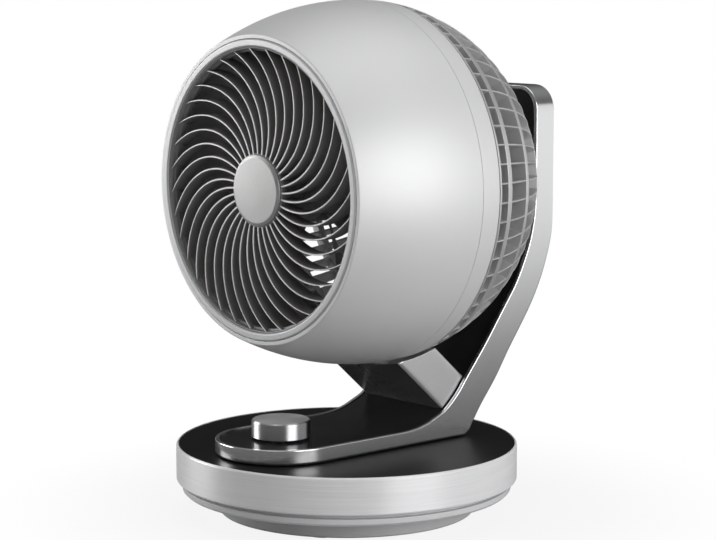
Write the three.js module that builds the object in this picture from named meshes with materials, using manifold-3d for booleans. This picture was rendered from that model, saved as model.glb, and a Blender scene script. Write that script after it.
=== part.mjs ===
// Air circulator fan: round turning base, J-shaped ribbon stand, barrel head on an arc saddle,
// swirl front grille, domed rear grille and a direct-drive blade.
// Millimetres, +Z up, front of the fan toward -Y, feet on Z = 0.
import * as THREE from 'three';
import { mergeVertices } from 'three/addons/utils/BufferGeometryUtils.js';
import ManifoldModule from 'manifold-3d';

const wasm = await ManifoldModule();
wasm.setup();
const { Manifold, Mesh: SolidMesh } = wasm;

// ---------------------------------------------------------------- driving sizes
const fitGap = 0.3;            // air between two pieces that touch on the real fan
const seatGap = 0.55;          // the same where a faceted round piece sits inside another
const wallThickness = 3;       // moulded walls

// turning base
const padDrop = 1.5;           // rubber feet below the foot disc
const padRadius = 15;
const padCount = 5;
const baseRadius = 127.5;
const lipStep = 4.5;           // the lip's edge inside the band's
const footStep = 27;           // the foot disc's edge inside the lip's
const footDiscHeight = 14;
const turnGap = 1;             // air between foot disc and turning base
const lipHeight = 5.5;
const grooveHeight = 3.5;
const bandHeight = 27;
const bandThickness = 6;
const bandRimWidth = 1.8;      // bright rim left round the black cover
const coverThickness = 3;
const screwInset = 14;         // pan screws inside the lip's edge
const screwRadius = 2.2;
const slideRingWidth = 6;

// swivel drive
const spindleRadius = 18;
const toothModule = 2;
const gearTeeth = 26;
const pinionTeeth = 10;
const gearThickness = 4.7;
const swivelMotorRadius = 24;
const swivelMotorHeight = 15;

// cable gland
const glandRadius = 6;
const glandBore = 3.6;
const glandReach = 9;          // outside the band
const glandInside = 14;        // length inside the band
const glandAboveGroove = 9;

// speed knob, switch and board
const knobMargin = 63.5;       // knob axis inside the band's edge
const knobRadius = 21.5;
const knobHeight = 12.5;
const shaftRadius = 3;
const switchHalfWidth = 11;
const boardHalfWidth = 36;
const boardHalfLength = 26;
const boardThickness = 1.6;
const boardLift = 9;           // board above the pan's floor

// ribbon stand
const ribbonHalfWidth = 48;
const tongueHeight = 11.5;
const armAboveHead = 67.9;     // arm's top above the head centre
const armClearance = 8.8;      // air between the rear grille and the arm
const armThickness = 20;
const armCornerRadius = 19;
const panelRecess = 0.8;
const panelThickness = 2.6;
const boltInset = 22;          // ribbon's bolts inside its sides
const boltRear = 40;
const boltFront = -25;

// neck
const neckInset = 4;           // neck's sides inside the ribbon's
const neckThickness = 31;
const neckTipBehind = 4.2;     // upper end of the neck's underside line, behind the head centre
const neckTipInside = 2.9;     // the same end inside the barrel's lowest point
const neckFootShare = [0.438, 0.0764]; // lower end, as shares of the arm's distance and the head's height
const skinInset = 2;           // black skin's edge inside the neck's sides
const skinThickness = 2.5;

// head
const headBehind = 8.4;        // head centre behind the base axis
const headClearance = 59.2;    // barrel above the base top
const barrelRadius = 134.4;
const barrelArc = 195;         // radius of the barrel's bulge
const frontDepth = 96.2;       // front ring's face in front of the head centre
const ringProud = 1;           // the same face in front of the shell's edge
const partingBehind = 0.5;
const shellEnd = 17.5;
const ringFace = 5.5;          // width of the ring round the grille
const ringDepth = 8;
const badgeRadius = 26;
const ribCount = 36;
const ribSweep = 35.6;         // degrees from hub to rim
const ribWidth = 2;
const grilleThickness = 7;
const domeRise = 0.4;          // dome above the barrel's largest radius
const barCount = 60;
const barWidth = 1.6;
const barDepth = 15;
const firstHoop = 12;          // degrees rearward from the head's equator
const secondHoop = 24.3;
const thirdHoop = 46;
const hoopSpan = 2.2;
const edgeHoopSpan = 0.8;      // the hoop against the shell
const rearCapRadius = 42;

// tilt saddle: an arc shoe on the neck slides in an arc track in the head
const tiltUp = 40;             // degrees nose up
const tiltDown = 10;           // degrees nose down
const trackInset = 3.2;        // track inside the barrel's surface
const trackDepth = 8.2;
const trackHalfWidth = 28;
const stemHalfWidth = 12;
const shoeHalfWidth = 22;
const stemFrom = 9;            // degrees rearward from straight down
const stemTo = 17;
const stemSeat = 2;            // stem's foot let into the neck
const shoeFrom = 5;
const shoeTo = 21;
const shoeThickness = 5.5;
const sweepGap = 3.2;          // air between the head's sweep and the neck

// air mover
const bladeGap = 5.4;          // blade tip inside the grille opening
const bladeCount = 7;
const bladeHubRadius = 26;
const bladeHubLength = 38;
const bladeSetback = 38.2;     // blade hub behind the ring's face
const ductBehindRim = 74.2;
const motorRadius = 38;
const motorLength = 55.7;
const motorGap = 10;           // motor behind the blade hub

// ---------------------------------------------------------------- derived levels
const lipRadius = baseRadius - lipStep;
const footDiscRadius = lipRadius - footStep;
const footTop = padDrop + footDiscHeight;
const panBottom = footTop + turnGap;
const bandBottom = panBottom + lipHeight + grooveHeight;
const baseTop = bandBottom + bandHeight;
const floorThickness = 2.5;
const floorTop = panBottom + floorThickness;
const knobForward = baseRadius - knobMargin;
const headAboveBase = barrelRadius + headClearance;
const headZ = baseTop + headAboveBase;
const domeRadius = barrelRadius + domeRise;
const neckHalfWidth = ribbonHalfWidth - neckInset;
const skinHalfWidth = neckHalfWidth - skinInset;
const armTop = headAboveBase + armAboveHead;
const armFrontY = headBehind + domeRadius + armClearance;
const armRearY = armFrontY + armThickness;
const centreShift = -(armRearY - baseRadius) / 2;

const trackFrom = shoeFrom - tiltDown - 3;
const trackTo = shoeTo + tiltUp + 3;
const trackOuter = barrelRadius - trackInset;
const trackInner = trackOuter - trackDepth;
const shoeInner = trackInner - 0.5 - shoeThickness;

// ---------------------------------------------------------------- shape helpers
function signedVolume(positions, index) {
  let total = 0;
  const a = new THREE.Vector3();
  const b = new THREE.Vector3();
  const c = new THREE.Vector3();
  for (let i = 0; i < index.length; i += 3) {
    a.fromArray(positions, index[i] * 3);
    b.fromArray(positions, index[i + 1] * 3);
    c.fromArray(positions, index[i + 2] * 3);
    total += a.dot(b.cross(c)) / 6;
  }
  return total;
}

function solidOf(geometry) {
  const bare = new THREE.BufferGeometry();
  bare.setAttribute('position', geometry.getAttribute('position').clone());
  if (geometry.index) bare.setIndex(geometry.index.clone());
  const merged = mergeVertices(bare, 1e-4);
  const source = merged.index.array;
  const positions = merged.getAttribute('position').array;
  const kept = [];
  for (let i = 0; i < source.length; i += 3) {
    const [a, b, c] = [source[i], source[i + 1], source[i + 2]];
    if (a !== b && b !== c && c !== a) kept.push(a, b, c);
  }
  if (signedVolume(positions, kept) < 0) kept.reverse();
  return new Manifold(new SolidMesh({
    numProp: 3,
    vertProperties: new Float32Array(positions),
    triVerts: new Uint32Array(kept),
  }));
}

function geometryOf(solid) {
  const mesh = solid.getMesh();
  const geometry = new THREE.BufferGeometry();
  geometry.setAttribute('position', new THREE.BufferAttribute(new Float32Array(mesh.vertProperties), 3));
  geometry.setIndex(new THREE.BufferAttribute(new Uint32Array(mesh.triVerts), 1));
  return geometry;
}

function join(...solids) {
  return Manifold.union(solids);
}

function cut(solid, ...tools) {
  return Manifold.difference([solid, ...tools]);
}

function overlap(...solids) {
  return Manifold.intersection(solids);
}

function shapeOf(points) {
  return new THREE.Shape(points.map(([u, v]) => new THREE.Vector2(u, v)));
}

function roundShape(radius, segments) {
  const points = [];
  for (let i = 0; i < segments; i += 1) {
    const turn = (i / segments) * Math.PI * 2;
    points.push([radius * Math.cos(turn), radius * Math.sin(turn)]);
  }
  return points;
}

// outline in (x, y), height along z
function prismZ(points, low, high) {
  const geometry = new THREE.ExtrudeGeometry(shapeOf(points), { depth: high - low, bevelEnabled: false });
  geometry.translate(0, 0, low);
  return solidOf(geometry);
}

// outline in (y, z), width along x
function prismX(points, low, high) {
  const geometry = new THREE.ExtrudeGeometry(shapeOf(points), { depth: high - low, bevelEnabled: false });
  const turn = new THREE.Matrix4().makeBasis(
    new THREE.Vector3(0, 1, 0),
    new THREE.Vector3(0, 0, 1),
    new THREE.Vector3(1, 0, 0),
  );
  geometry.applyMatrix4(turn);
  geometry.translate(low, 0, 0);
  return solidOf(geometry);
}

// outline in (x, z), depth along y
function prismY(points, low, high) {
  const geometry = new THREE.ExtrudeGeometry(shapeOf(points), { depth: high - low, bevelEnabled: false });
  const turn = new THREE.Matrix4().makeBasis(
    new THREE.Vector3(1, 0, 0),
    new THREE.Vector3(0, 0, 1),
    new THREE.Vector3(0, -1, 0),
  );
  geometry.applyMatrix4(turn);
  geometry.translate(0, high, 0);
  return solidOf(geometry);
}

function block(x0, x1, y0, y1, z0, z1) {
  const geometry = new THREE.BoxGeometry(x1 - x0, y1 - y0, z1 - z0);
  geometry.translate((x0 + x1) / 2, (y0 + y1) / 2, (z0 + z1) / 2);
  return solidOf(geometry);
}

// profile of [radius, height] pairs turned round the Z axis
function turnedZ(profile, segments = 40) {
  const loop = closeProfile(profile);
  const geometry = new THREE.LatheGeometry(loop, segments);
  geometry.rotateX(Math.PI / 2);
  return solidOf(geometry);
}

// profile of [radius, distance behind the head centre] pairs turned round the head's Y axis
function turnedHead(profile, segments = 48) {
  const geometry = new THREE.LatheGeometry(closeProfile(profile), segments);
  return solidOf(geometry);
}

function closeProfile(profile) {
  const points = profile.map(([r, h]) => new THREE.Vector2(r, h));
  const first = points[0];
  const last = points[points.length - 1];
  const onAxis = Math.abs(first.x) < 1e-6 && Math.abs(last.x) < 1e-6;
  if (!onAxis) points.push(first.clone());
  return points;
}

function rod(radius, low, high, x = 0, y = 0, segments = 20) {
  return turnedZ([[0, low], [radius, low], [radius, high], [0, high]], segments).translate([x, y, 0]);
}

// screw or bolt, head down: head radius, shank radius, head's underside, seat and shank end
function headedPin(head, shank, low, seat, end) {
  return turnedZ([[0, low], [head, low], [head, seat], [shank, seat], [shank, end], [0, end]], 14);
}

function rodHead(radius, front, back, segments = 24) {
  return turnedHead([[0, front], [radius, front], [radius, back], [0, back]], segments);
}

function polar(radius, degrees) {
  const turn = THREE.MathUtils.degToRad(degrees);
  return [radius * Math.sin(turn), -radius * Math.cos(turn)];
}

// parallel line at a distance to the left of its direction
function offsetLine(points, distance) {
  return points.map((point, i) => {
    const before = points[Math.max(i - 1, 0)];
    const after = points[Math.min(i + 1, points.length - 1)];
    const into = new THREE.Vector2(point[0] - before[0], point[1] - before[1]);
    const out = new THREE.Vector2(after[0] - point[0], after[1] - point[1]);
    if (i === 0) into.copy(out);
    if (i === points.length - 1) out.copy(into);
    into.normalize();
    out.normalize();
    const middle = into.clone().add(out).normalize();
    const stretch = distance / Math.max(middle.dot(into), 0.5);
    return [point[0] - middle.y * stretch, point[1] + middle.x * stretch];
  });
}

// closed outline between two radii and two angles, angles counted rearward from straight down
function arcOutline(inner, outer, from, to, steps) {
  const points = [];
  for (let i = 0; i <= steps; i += 1) {
    const turn = THREE.MathUtils.degToRad(from + ((to - from) * i) / steps);
    points.push([outer * Math.sin(turn), -outer * Math.cos(turn)]);
  }
  for (let i = steps; i >= 0; i -= 1) {
    const turn = THREE.MathUtils.degToRad(from + ((to - from) * i) / steps);
    points.push([inner * Math.sin(turn), -inner * Math.cos(turn)]);
  }
  return points;
}

function arcBand(halfWidth, inner, outer, from, to, steps = 8) {
  return prismX(arcOutline(inner, outer, from, to, steps), -halfWidth, halfWidth);
}

// ---------------------------------------------------------------- pieces and their looks
const fan = new THREE.Group();
fan.name = 'air_circulator_fan';
fan.position.set(0, centreShift, 0);

const looks = {
  pearl: { color: 0xc9cacb, roughness: 0.38, metalness: 0.35 },
  silver: { color: 0xb4b6b8, roughness: 0.3, metalness: 0.75 },
  brushed: { color: 0xc4c5c6, roughness: 0.32, metalness: 0.9 },
  glossBlack: { color: 0x0c0c0d, roughness: 0.12, metalness: 0.0 },
  mattBlack: { color: 0x1b1b1c, roughness: 0.6, metalness: 0.0 },
  grille: { color: 0x4a4b4c, roughness: 0.5, metalness: 0.1 },
  blade: { color: 0x3a3b3d, roughness: 0.45, metalness: 0.0 },
  rubber: { color: 0x161616, roughness: 0.9, metalness: 0.0 },
  nylon: { color: 0xd9d6cb, roughness: 0.55, metalness: 0.0 },
  steel: { color: 0x9a9c9e, roughness: 0.3, metalness: 0.95 },
  board: { color: 0x1f5b3a, roughness: 0.6, metalness: 0.0 },
  greyPlastic: { color: 0x6c6e70, roughness: 0.55, metalness: 0.0 },
};

function addPiece(name, solid, look) {
  const material = new THREE.MeshStandardMaterial(looks[look]);
  const mesh = new THREE.Mesh(geometryOf(solid), material);
  mesh.name = name;
  fan.add(mesh);
}

function addHeadPiece(name, solid, look) {
  addPiece(name, solid.translate([0, headBehind, headZ]), look);
}

// ---------------------------------------------------------------- foot (stays on the table)
const spindleTop = floorTop + 1.5;
const padRing = footDiscRadius - padRadius - 5;
const padPocket = 2;

function footDisc() {
  const disc = turnedZ([
    [0, padDrop],
    [footDiscRadius - 1.2, padDrop],
    [footDiscRadius, padDrop + 1.2],
    [footDiscRadius, footTop],
    [footDiscRadius - 3.5, footTop],
    [footDiscRadius - 3.5, padDrop + 4.5],
    [spindleRadius, padDrop + 4.5],
    [spindleRadius, spindleTop],
    [0, spindleTop],
  ], 40);
  const hole = padRadius + fitGap;
  const pockets = padPlaces().map(([x, y]) => rod(hole, padDrop - 1, padDrop + padPocket, x, y));
  const thread = rod(2.6, padDrop + 6, spindleTop + 1, 0, 0, 12);
  return cut(disc, thread, ...pockets);
}

function padPlaces() {
  const places = [];
  for (let i = 0; i < padCount; i += 1) {
    places.push(polar(padRing, (i + 0.5) * (360 / padCount)));
  }
  return places;
}

function footPad([x, y]) {
  const low = padRadius - 1;
  const top = padDrop + padPocket - fitGap;
  return turnedZ([[0, 0], [low, 0], [padRadius, 1], [padRadius, top], [0, top]], 20).translate([x, y, 0]);
}

function slideRing() {
  const low = padDrop + 4.5 + fitGap;
  const top = panBottom - fitGap;
  const outer = (spindleRadius + footDiscRadius + slideRingWidth) / 2;
  const inner = outer - slideRingWidth;
  return turnedZ([[inner, low], [outer, low], [outer, top], [inner, top]], 40);
}

function toothedOutline(teeth, phase) {
  const pitchRadius = (teeth * toothModule) / 2;
  const tip = pitchRadius + 0.9 * toothModule;
  const root = pitchRadius - 1.15 * toothModule;
  const step = (Math.PI * 2) / teeth;
  const points = [];
  for (let i = 0; i < teeth; i += 1) {
    const middle = phase + i * step;
    points.push(ringPoint(root, middle - step * 0.33));
    points.push(ringPoint(tip, middle - step * 0.12));
    points.push(ringPoint(tip, middle + step * 0.12));
    points.push(ringPoint(root, middle + step * 0.33));
  }
  return points;
}

function ringPoint(radius, turn) {
  return [radius * Math.cos(turn), radius * Math.sin(turn)];
}

const gearLow = spindleTop + fitGap;
const gearHigh = gearLow + gearThickness;
const drivePitch = ((gearTeeth + pinionTeeth) * toothModule) / 2;

function swivelGear() {
  const gear = prismZ(toothedOutline(gearTeeth, Math.PI / 2), gearLow, gearHigh);
  return cut(gear, rod(2.6, gearLow - 1, gearHigh + 1, 0, 0, 12));
}

function gearScrew() {
  const low = padDrop + 7;
  const head = gearHigh + fitGap;
  const shank = [[0, low], [2.2, low], [2.2, head]];
  return turnedZ([...shank, [5, head], [5, head + 2.6], [0, head + 2.6]], 16);
}

addPiece('foot_disc', footDisc(), 'greyPlastic');
padPlaces().forEach((place, i) => addPiece(`foot_pad_${i + 1}`, footPad(place), 'rubber'));
addPiece('slide_ring', slideRing(), 'nylon');
addPiece('swivel_gear', swivelGear(), 'nylon');
addPiece('gear_screw', gearScrew(), 'steel');

// ---------------------------------------------------------------- turning base
const panWall = baseRadius - bandThickness - fitGap;
const coverLow = baseTop - coverThickness;
const screwRing = lipRadius - screwInset;
const screwHole = screwRadius + 0.2;
const screwHead = screwRadius * 2;
const screwSink = 1.2;
const sinkTop = panBottom + screwSink;
const boardLow = floorTop + boardLift;
const boardTop = boardLow + boardThickness;
const postRadius = 3;
const glandZ = bandBottom + glandAboveGroove;

function basePan() {
  const pan = turnedZ([
    [spindleRadius + 1, panBottom],
    [lipRadius - 1.5, panBottom],
    [lipRadius, panBottom + 1.5],
    [lipRadius, panBottom + lipHeight],
    [panWall - 2, panBottom + lipHeight],
    [panWall - 2, bandBottom],
    [panWall, bandBottom],
    [panWall, coverLow - fitGap],
    [panWall - wallThickness, coverLow - fitGap],
    [panWall - wallThickness - 2, floorTop],
    [spindleRadius + 1, floorTop],
  ], 40);
  const posts = boardPosts().map(([x, y]) => rod(postRadius, floorTop - 1, boardLow - fitGap, x, y, 12));
  const holes = screwPlaces().map(([x, y]) => rod(screwHole, panBottom - 1, floorTop + 1, x, y, 12));
  const sinks = screwPlaces().map(([x, y]) => rod(screwHead + 0.4, panBottom - 1, sinkTop, x, y, 16));
  return cut(join(pan, ...posts), ...holes, ...sinks, glandHole());
}

// four posts under the board's corners
function boardPosts() {
  const across = boardHalfWidth - 8;
  const along = boardHalfLength - 8;
  return [[-across, -along], [across, -along], [-across, along], [across, along]]
    .map(([x, y]) => [x, y - knobForward]);
}

function glandHole() {
  const wide = glandRadius + fitGap;
  const start = panWall - bandThickness;
  const end = baseRadius + glandReach;
  return turnedHead([[0, start], [wide, start], [wide, end], [0, end]], 20).translate([0, 0, glandZ]);
}

function screwPlaces() {
  return [60, 180, 300].map((degrees) => polar(screwRing, degrees));
}

function baseBand() {
  const inner = baseRadius - bandThickness;
  const band = turnedZ([
    [inner, bandBottom],
    [baseRadius - 0.8, bandBottom],
    [baseRadius, bandBottom + 0.8],
    [baseRadius, baseTop - 1],
    [baseRadius - 1, baseTop],
    [baseRadius - bandRimWidth, baseTop],
    [baseRadius - bandRimWidth, coverLow - fitGap],
    [inner, coverLow - fitGap],
  ], 48);
  return cut(band, glandHole());
}

function baseCover() {
  const edge = baseRadius - bandRimWidth - fitGap;
  const high = baseTop - fitGap;
  const disc = turnedZ([[0, coverLow], [edge, coverLow], [edge, high], [0, high]], 48);
  const bosses = screwPlaces().map(([x, y]) => rod(screwHead, floorTop + fitGap, coverLow + 1, x, y, 14));
  const threads = screwPlaces().map(([x, y]) => rod(screwHole, floorTop - 1, floorTop + 14, x, y, 12));
  const shaftHole = rod(shaftRadius + 1.5, coverLow - 1, baseTop + 1, 0, -knobForward);
  const boltWide = screwRadius + 0.7;
  const boltHoles = armBoltPlaces().map(([x, y]) => rod(boltWide, coverLow - 1, baseTop + 1, x, y, 12));
  return cut(join(disc, ...bosses), ...threads, shaftHole, ...boltHoles);
}

function panScrew([x, y]) {
  const seat = sinkTop - fitGap;
  return headedPin(screwHead, screwRadius - 0.2, panBottom, seat, floorTop + 12).translate([x, y, 0]);
}

function swivelMotor() {
  const low = gearHigh + 3;
  const can = rod(swivelMotorRadius, low, low + swivelMotorHeight, 0, drivePitch, 32);
  const half = swivelMotorRadius + 8;
  const ear = block(-half, half, drivePitch - 5, drivePitch + 5, low, low + 2.5);
  const left = rod(4, floorTop + fitGap, low + 1, 4 - half, drivePitch, 14);
  const right = rod(4, floorTop + fitGap, low + 1, half - 4, drivePitch, 14);
  const bore = rod(3.4, low - 1, low + 6, 0, drivePitch, 14);
  return cut(join(can, ear, left, right), bore);
}

function swivelPinion() {
  const phase = -Math.PI / 2 + Math.PI / pinionTeeth;
  const wheel = prismZ(toothedOutline(pinionTeeth, phase), gearLow, gearHigh).translate([0, drivePitch, 0]);
  return join(wheel, rod(3, gearLow + 1, gearHigh + 7, 0, drivePitch, 14));
}

function controlBoard() {
  const half = boardHalfWidth;
  const low = boardTop - 0.5;
  const plate = block(-half, half, -boardHalfLength, boardHalfLength, boardLow, boardTop);
  const choke = block(4 - half, 22 - half, 6, 22, low, boardTop + 12);
  const relay = block(half - 22, half - 6, 4, 20, low, boardTop + 9);
  const chip = block(6 - half, 18 - half, -18, -6, low, boardTop + 2);
  const can = rod(5, low, boardTop + 13, half - 12, -12, 16);
  return join(plate, choke, relay, can, chip).translate([0, -knobForward, 0]);
}

const switchLow = boardTop + fitGap;
const switchHigh = switchLow + switchHalfWidth;

function rotarySwitch() {
  const half = switchHalfWidth;
  const body = block(-half, half, -half, half, switchLow, switchHigh);
  const bore = rod(shaftRadius + fitGap, switchHigh - 6, switchHigh + 1);
  return cut(body, bore).translate([0, -knobForward, 0]);
}

function cableGland() {
  const seat = baseRadius + fitGap;
  const end = baseRadius + glandReach;
  const collar = [
    [glandBore, baseRadius - glandInside],
    [glandRadius, baseRadius - glandInside],
    [glandRadius, seat],
    [glandRadius + 2.5, seat],
    [glandRadius + 2.5, seat + 2.2],
    [glandRadius - 0.8, end],
    [glandBore, end],
  ];
  return turnedHead(collar, 20).translate([0, 0, glandZ]);
}

addPiece('base_pan', basePan(), 'greyPlastic');
addPiece('base_band', baseBand(), 'brushed');
addPiece('base_cover', baseCover(), 'glossBlack');
screwPlaces().forEach((place, i) => addPiece(`pan_screw_${i + 1}`, panScrew(place), 'steel'));
addPiece('swivel_motor', swivelMotor(), 'steel');
addPiece('swivel_pinion', swivelPinion(), 'nylon');
addPiece('control_board', controlBoard(), 'board');
addPiece('rotary_switch', rotarySwitch(), 'greyPlastic');
addPiece('cable_gland', cableGland(), 'rubber');

// ---------------------------------------------------------------- ribbon stand
const tongueStart = -knobForward - ribbonHalfWidth;

// side view of the bend: shares of the arm's distance behind the base axis and of the head's height
const frontBend = [
  [0.178, 0.004], [0.25, 0.016], [0.309, 0.034], [0.376, 0.058], [0.457, 0.113], [0.518, 0.171],
  [0.641, 0.286], [0.756, 0.404], [0.868, 0.522], [0.947, 0.645], [0.98, 0.728], [0.996, 0.801],
  [1, 0.863],
];
const rearBend = [
  [0.471, 0.002], [0.503, 0.049], [0.549, 0.107], [0.642, 0.208], [0.722, 0.311],
  [0.857, 0.474], [0.922, 0.575], [0.965, 0.669], [0.993, 0.758], [1, 0.842],
];

// side view of the ribbon's front and top line, from the tongue's tip to the arm's top
function frontLine() {
  const tongue = baseTop + tongueHeight;
  return [
    [tongueStart - 5, tongue],
    [armFrontY * 0.105, tongue],
    ...frontBend.map(([behind, rise]) => [armFrontY * behind, tongue + headAboveBase * rise]),
    [armFrontY, baseTop + armTop + 5],
  ];
}

// side view of the ribbon's underside and back line
function backLine() {
  return [
    [tongueStart - 5, baseTop + fitGap],
    ...rearBend.map(([behind, rise]) => [armRearY * behind, baseTop + headAboveBase * rise]),
    [armRearY, baseTop + armTop + 5],
  ];
}

function betweenLines(lower, upper, halfWidth) {
  return prismX([...lower, ...upper.slice().reverse()], -halfWidth, halfWidth);
}

// plan and front outlines that round the tongue's tip and the arm's top corners
function ribbonLimits(inset) {
  const half = ribbonHalfWidth - inset;
  const behind = armRearY + armThickness;
  const plan = [[half, behind], [-half, behind]];
  for (let i = 0; i <= 20; i += 1) {
    const turn = Math.PI + (i / 20) * Math.PI;
    plan.push([half * Math.cos(turn), -knobForward + half * Math.sin(turn)]);
  }
  const top = baseTop + armTop - inset;
  const corner = armCornerRadius - inset;
  const front = [[-half, 0], [half, 0]];
  for (let i = 0; i <= 6; i += 1) {
    const turn = (i / 6) * Math.PI / 2;
    front.push([half - corner + corner * Math.cos(turn), top - corner + corner * Math.sin(turn)]);
  }
  for (let i = 0; i <= 6; i += 1) {
    const turn = Math.PI / 2 + (i / 6) * Math.PI / 2;
    front.push([-half + corner + corner * Math.cos(turn), top - corner + corner * Math.sin(turn)]);
  }
  return overlap(prismZ(plan, padDrop, baseTop + armTop + armThickness), prismY(front, tongueStart, behind));
}

function armBoltPlaces() {
  const rear = ribbonHalfWidth - boltInset;
  const front = rear - 6;
  return [[-rear, boltRear], [rear, boltRear], [-front, boltFront], [front, boltFront]];
}

function armShell() {
  const body = overlap(betweenLines(backLine(), frontLine(), ribbonHalfWidth + 5), ribbonLimits(0));
  const rear = offsetLine(backLine(), wallThickness);
  const inside = betweenLines(rear, offsetLine(frontLine(), 8), ribbonHalfWidth);
  const hollow = overlap(inside, ribbonLimits(wallThickness));
  const bolts = armBoltPlaces().map(([x, y]) => rod(screwRadius + 0.4, baseTop - 1, baseTop + 12, x, y, 12));
  const wide = screwRadius + 2.8;
  const bosses = armBoltPlaces().map(([x, y]) => rod(wide, baseTop + 1, baseTop + 6.4, x, y, 14));
  const shaftHole = rod(shaftRadius + 1.5, baseTop - 1, baseTop + 20, 0, -knobForward);
  return cut(join(cut(body, hollow), ...bosses), ...bolts, shaftHole);
}

function armPanel() {
  const outer = offsetLine(frontLine(), -panelRecess);
  const inner = offsetLine(frontLine(), -panelRecess - panelThickness);
  const sheet = betweenLines(inner, outer, ribbonHalfWidth);
  const panel = overlap(sheet, ribbonLimits(wallThickness + fitGap));
  return cut(panel, rod(shaftRadius + 1.5, baseTop, baseTop + 20, 0, -knobForward));
}

function armBolt([x, y]) {
  const seat = coverLow - fitGap;
  return headedPin(screwHead, screwRadius, coverLow - 3, seat, baseTop + 5.5).translate([x, y, 0]);
}

addPiece('arm_shell', armShell(), 'silver');
addPiece('arm_panel', armPanel(), 'glossBlack');
armBoltPlaces().forEach((place, i) => addPiece(`arm_bolt_${i + 1}`, armBolt(place), 'steel'));

// ---------------------------------------------------------------- neck and tilt shoe
const neckClear = barrelRadius + sweepGap;

// everything under the panel's face, with the running gap
function underPanel() {
  const face = offsetLine(frontLine(), fitGap - panelRecess);
  return betweenLines([[tongueStart, 0], [armRearY, 0]], face, ribbonHalfWidth + 5);
}

// the ball round the head's centre that the head stays inside as it tilts
function headSweep() {
  const arc = [];
  for (let i = 0; i <= 24; i += 1) {
    arc.push(polar(neckClear, (i / 24) * 180));
  }
  return turnedHead(arc).translate([0, headBehind, headZ]);
}

// a slab that runs from the panel up under the head, between two parallel slanted lines
function slantedSlab(line, thickness, halfWidth) {
  const slab = prismX([...line, ...offsetLine(line, thickness).reverse()], -halfWidth, halfWidth);
  return cut(slab, underPanel(), headSweep());
}

// side view of the neck's underside, from the head down to the ribbon
function neckLine() {
  const [along, above] = neckFootShare;
  return [
    [headBehind + neckTipBehind, baseTop + headClearance + neckTipInside],
    [armFrontY * along, baseTop + headAboveBase * above],
  ];
}

function neckShell() {
  const line = neckLine();
  const under = [...offsetLine(line, -1), ...offsetLine(line, skinThickness + fitGap).reverse()];
  const skinHollow = prismX(under, -skinHalfWidth - fitGap, skinHalfWidth + fitGap);
  const stemHollow = shoeStem(stemHalfWidth + fitGap, fitGap, 0.2);
  return cut(slantedSlab(line, neckThickness, neckHalfWidth), skinHollow, stemHollow);
}

// thin black skin let into the neck's underside
function neckSkin() {
  return slantedSlab(neckLine(), skinThickness, skinHalfWidth);
}

// the stem, from inside the track down into the neck, with room round it for the hollow it stands in
function shoeStem(halfWidth, room, roomDegrees) {
  const foot = neckClear + stemSeat + room;
  return arcBand(halfWidth, trackInner - 2, foot, stemFrom - roomDegrees, stemTo + roomDegrees, 2)
    .translate([0, headBehind, headZ]);
}

function tiltShoe() {
  const flange = arcBand(shoeHalfWidth, shoeInner, shoeInner + shoeThickness, shoeFrom, shoeTo, 4);
  return join(shoeStem(stemHalfWidth, 0, 0), flange.translate([0, headBehind, headZ]));
}

addPiece('neck_shell', neckShell(), 'silver');
addPiece('neck_skin', neckSkin(), 'glossBlack');
addPiece('tilt_shoe', tiltShoe(), 'steel');

// ---------------------------------------------------------------- speed knob
const knobTop = baseTop + tongueHeight + knobHeight + 1;

function knobCap() {
  const low = knobTop - knobHeight;
  return turnedZ([
    [shaftRadius + fitGap, low + 1],
    [shaftRadius + 4, low + 1],
    [shaftRadius + 4, knobTop - 3],
    [knobRadius - 2, knobTop - 3],
    [knobRadius - 2, low],
    [knobRadius, low],
    [knobRadius, knobTop - 1],
    [knobRadius - 1, knobTop],
    [0, knobTop],
    [0, knobTop - 4],
    [shaftRadius + fitGap, knobTop - 4],
  ], 40).translate([0, -knobForward, 0]);
}

function switchShaft() {
  return rod(shaftRadius, switchHigh - 5, knobTop - 4 - fitGap, 0, -knobForward);
}

addPiece('knob_cap', knobCap(), 'brushed');
addPiece('switch_shaft', switchShaft(), 'steel');

// ---------------------------------------------------------------- head shells and grilles
function barrelAt(behind) {
  return barrelRadius - (behind * behind) / (2 * barrelArc);
}

function barrelLine(from, to, steps, inset) {
  const points = [];
  for (let i = 0; i <= steps; i += 1) {
    const behind = from + ((to - from) * i) / steps;
    points.push([barrelAt(behind) - inset, behind]);
  }
  return points;
}

const shellStart = -frontDepth + ringProud;
const rimRadius = barrelAt(shellStart) - wallThickness - fitGap;
const openingRadius = rimRadius - ringFace;
const bladeRadius = openingRadius - bladeGap;

// room for the track and for the shoe's flange inside it, through the rear grille's whole depth
function trackOpening() {
  const inner = Math.min(shoeInner, domeRadius - barDepth) - 8;
  return arcBand(trackHalfWidth + fitGap, inner, barrelRadius + 6, trackFrom - 0.3, trackTo + 0.3);
}

function tiltTrack() {
  const band = arcBand(trackHalfWidth, trackInner, trackOuter, trackFrom, trackTo);
  const slotFrom = stemFrom - tiltDown - 1;
  const slotTo = stemTo + tiltUp + 1;
  const slot = arcBand(stemHalfWidth + 1, trackInner - 5, trackOuter + 5, slotFrom, slotTo);
  return cut(band, slot);
}

function frontShell() {
  const end = partingBehind - fitGap / 2;
  const outer = barrelLine(shellStart, end, 9, 0);
  const inner = barrelLine(end, shellStart, 4, wallThickness);
  return cut(turnedHead([...outer, ...inner], 52), trackOpening());
}

function rearShell() {
  const start = partingBehind + fitGap / 2;
  const outer = barrelLine(start, shellEnd, 2, 0);
  const inner = barrelLine(shellEnd, start, 1, wallThickness);
  return cut(turnedHead([...outer, ...inner], 52), trackOpening());
}

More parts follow.
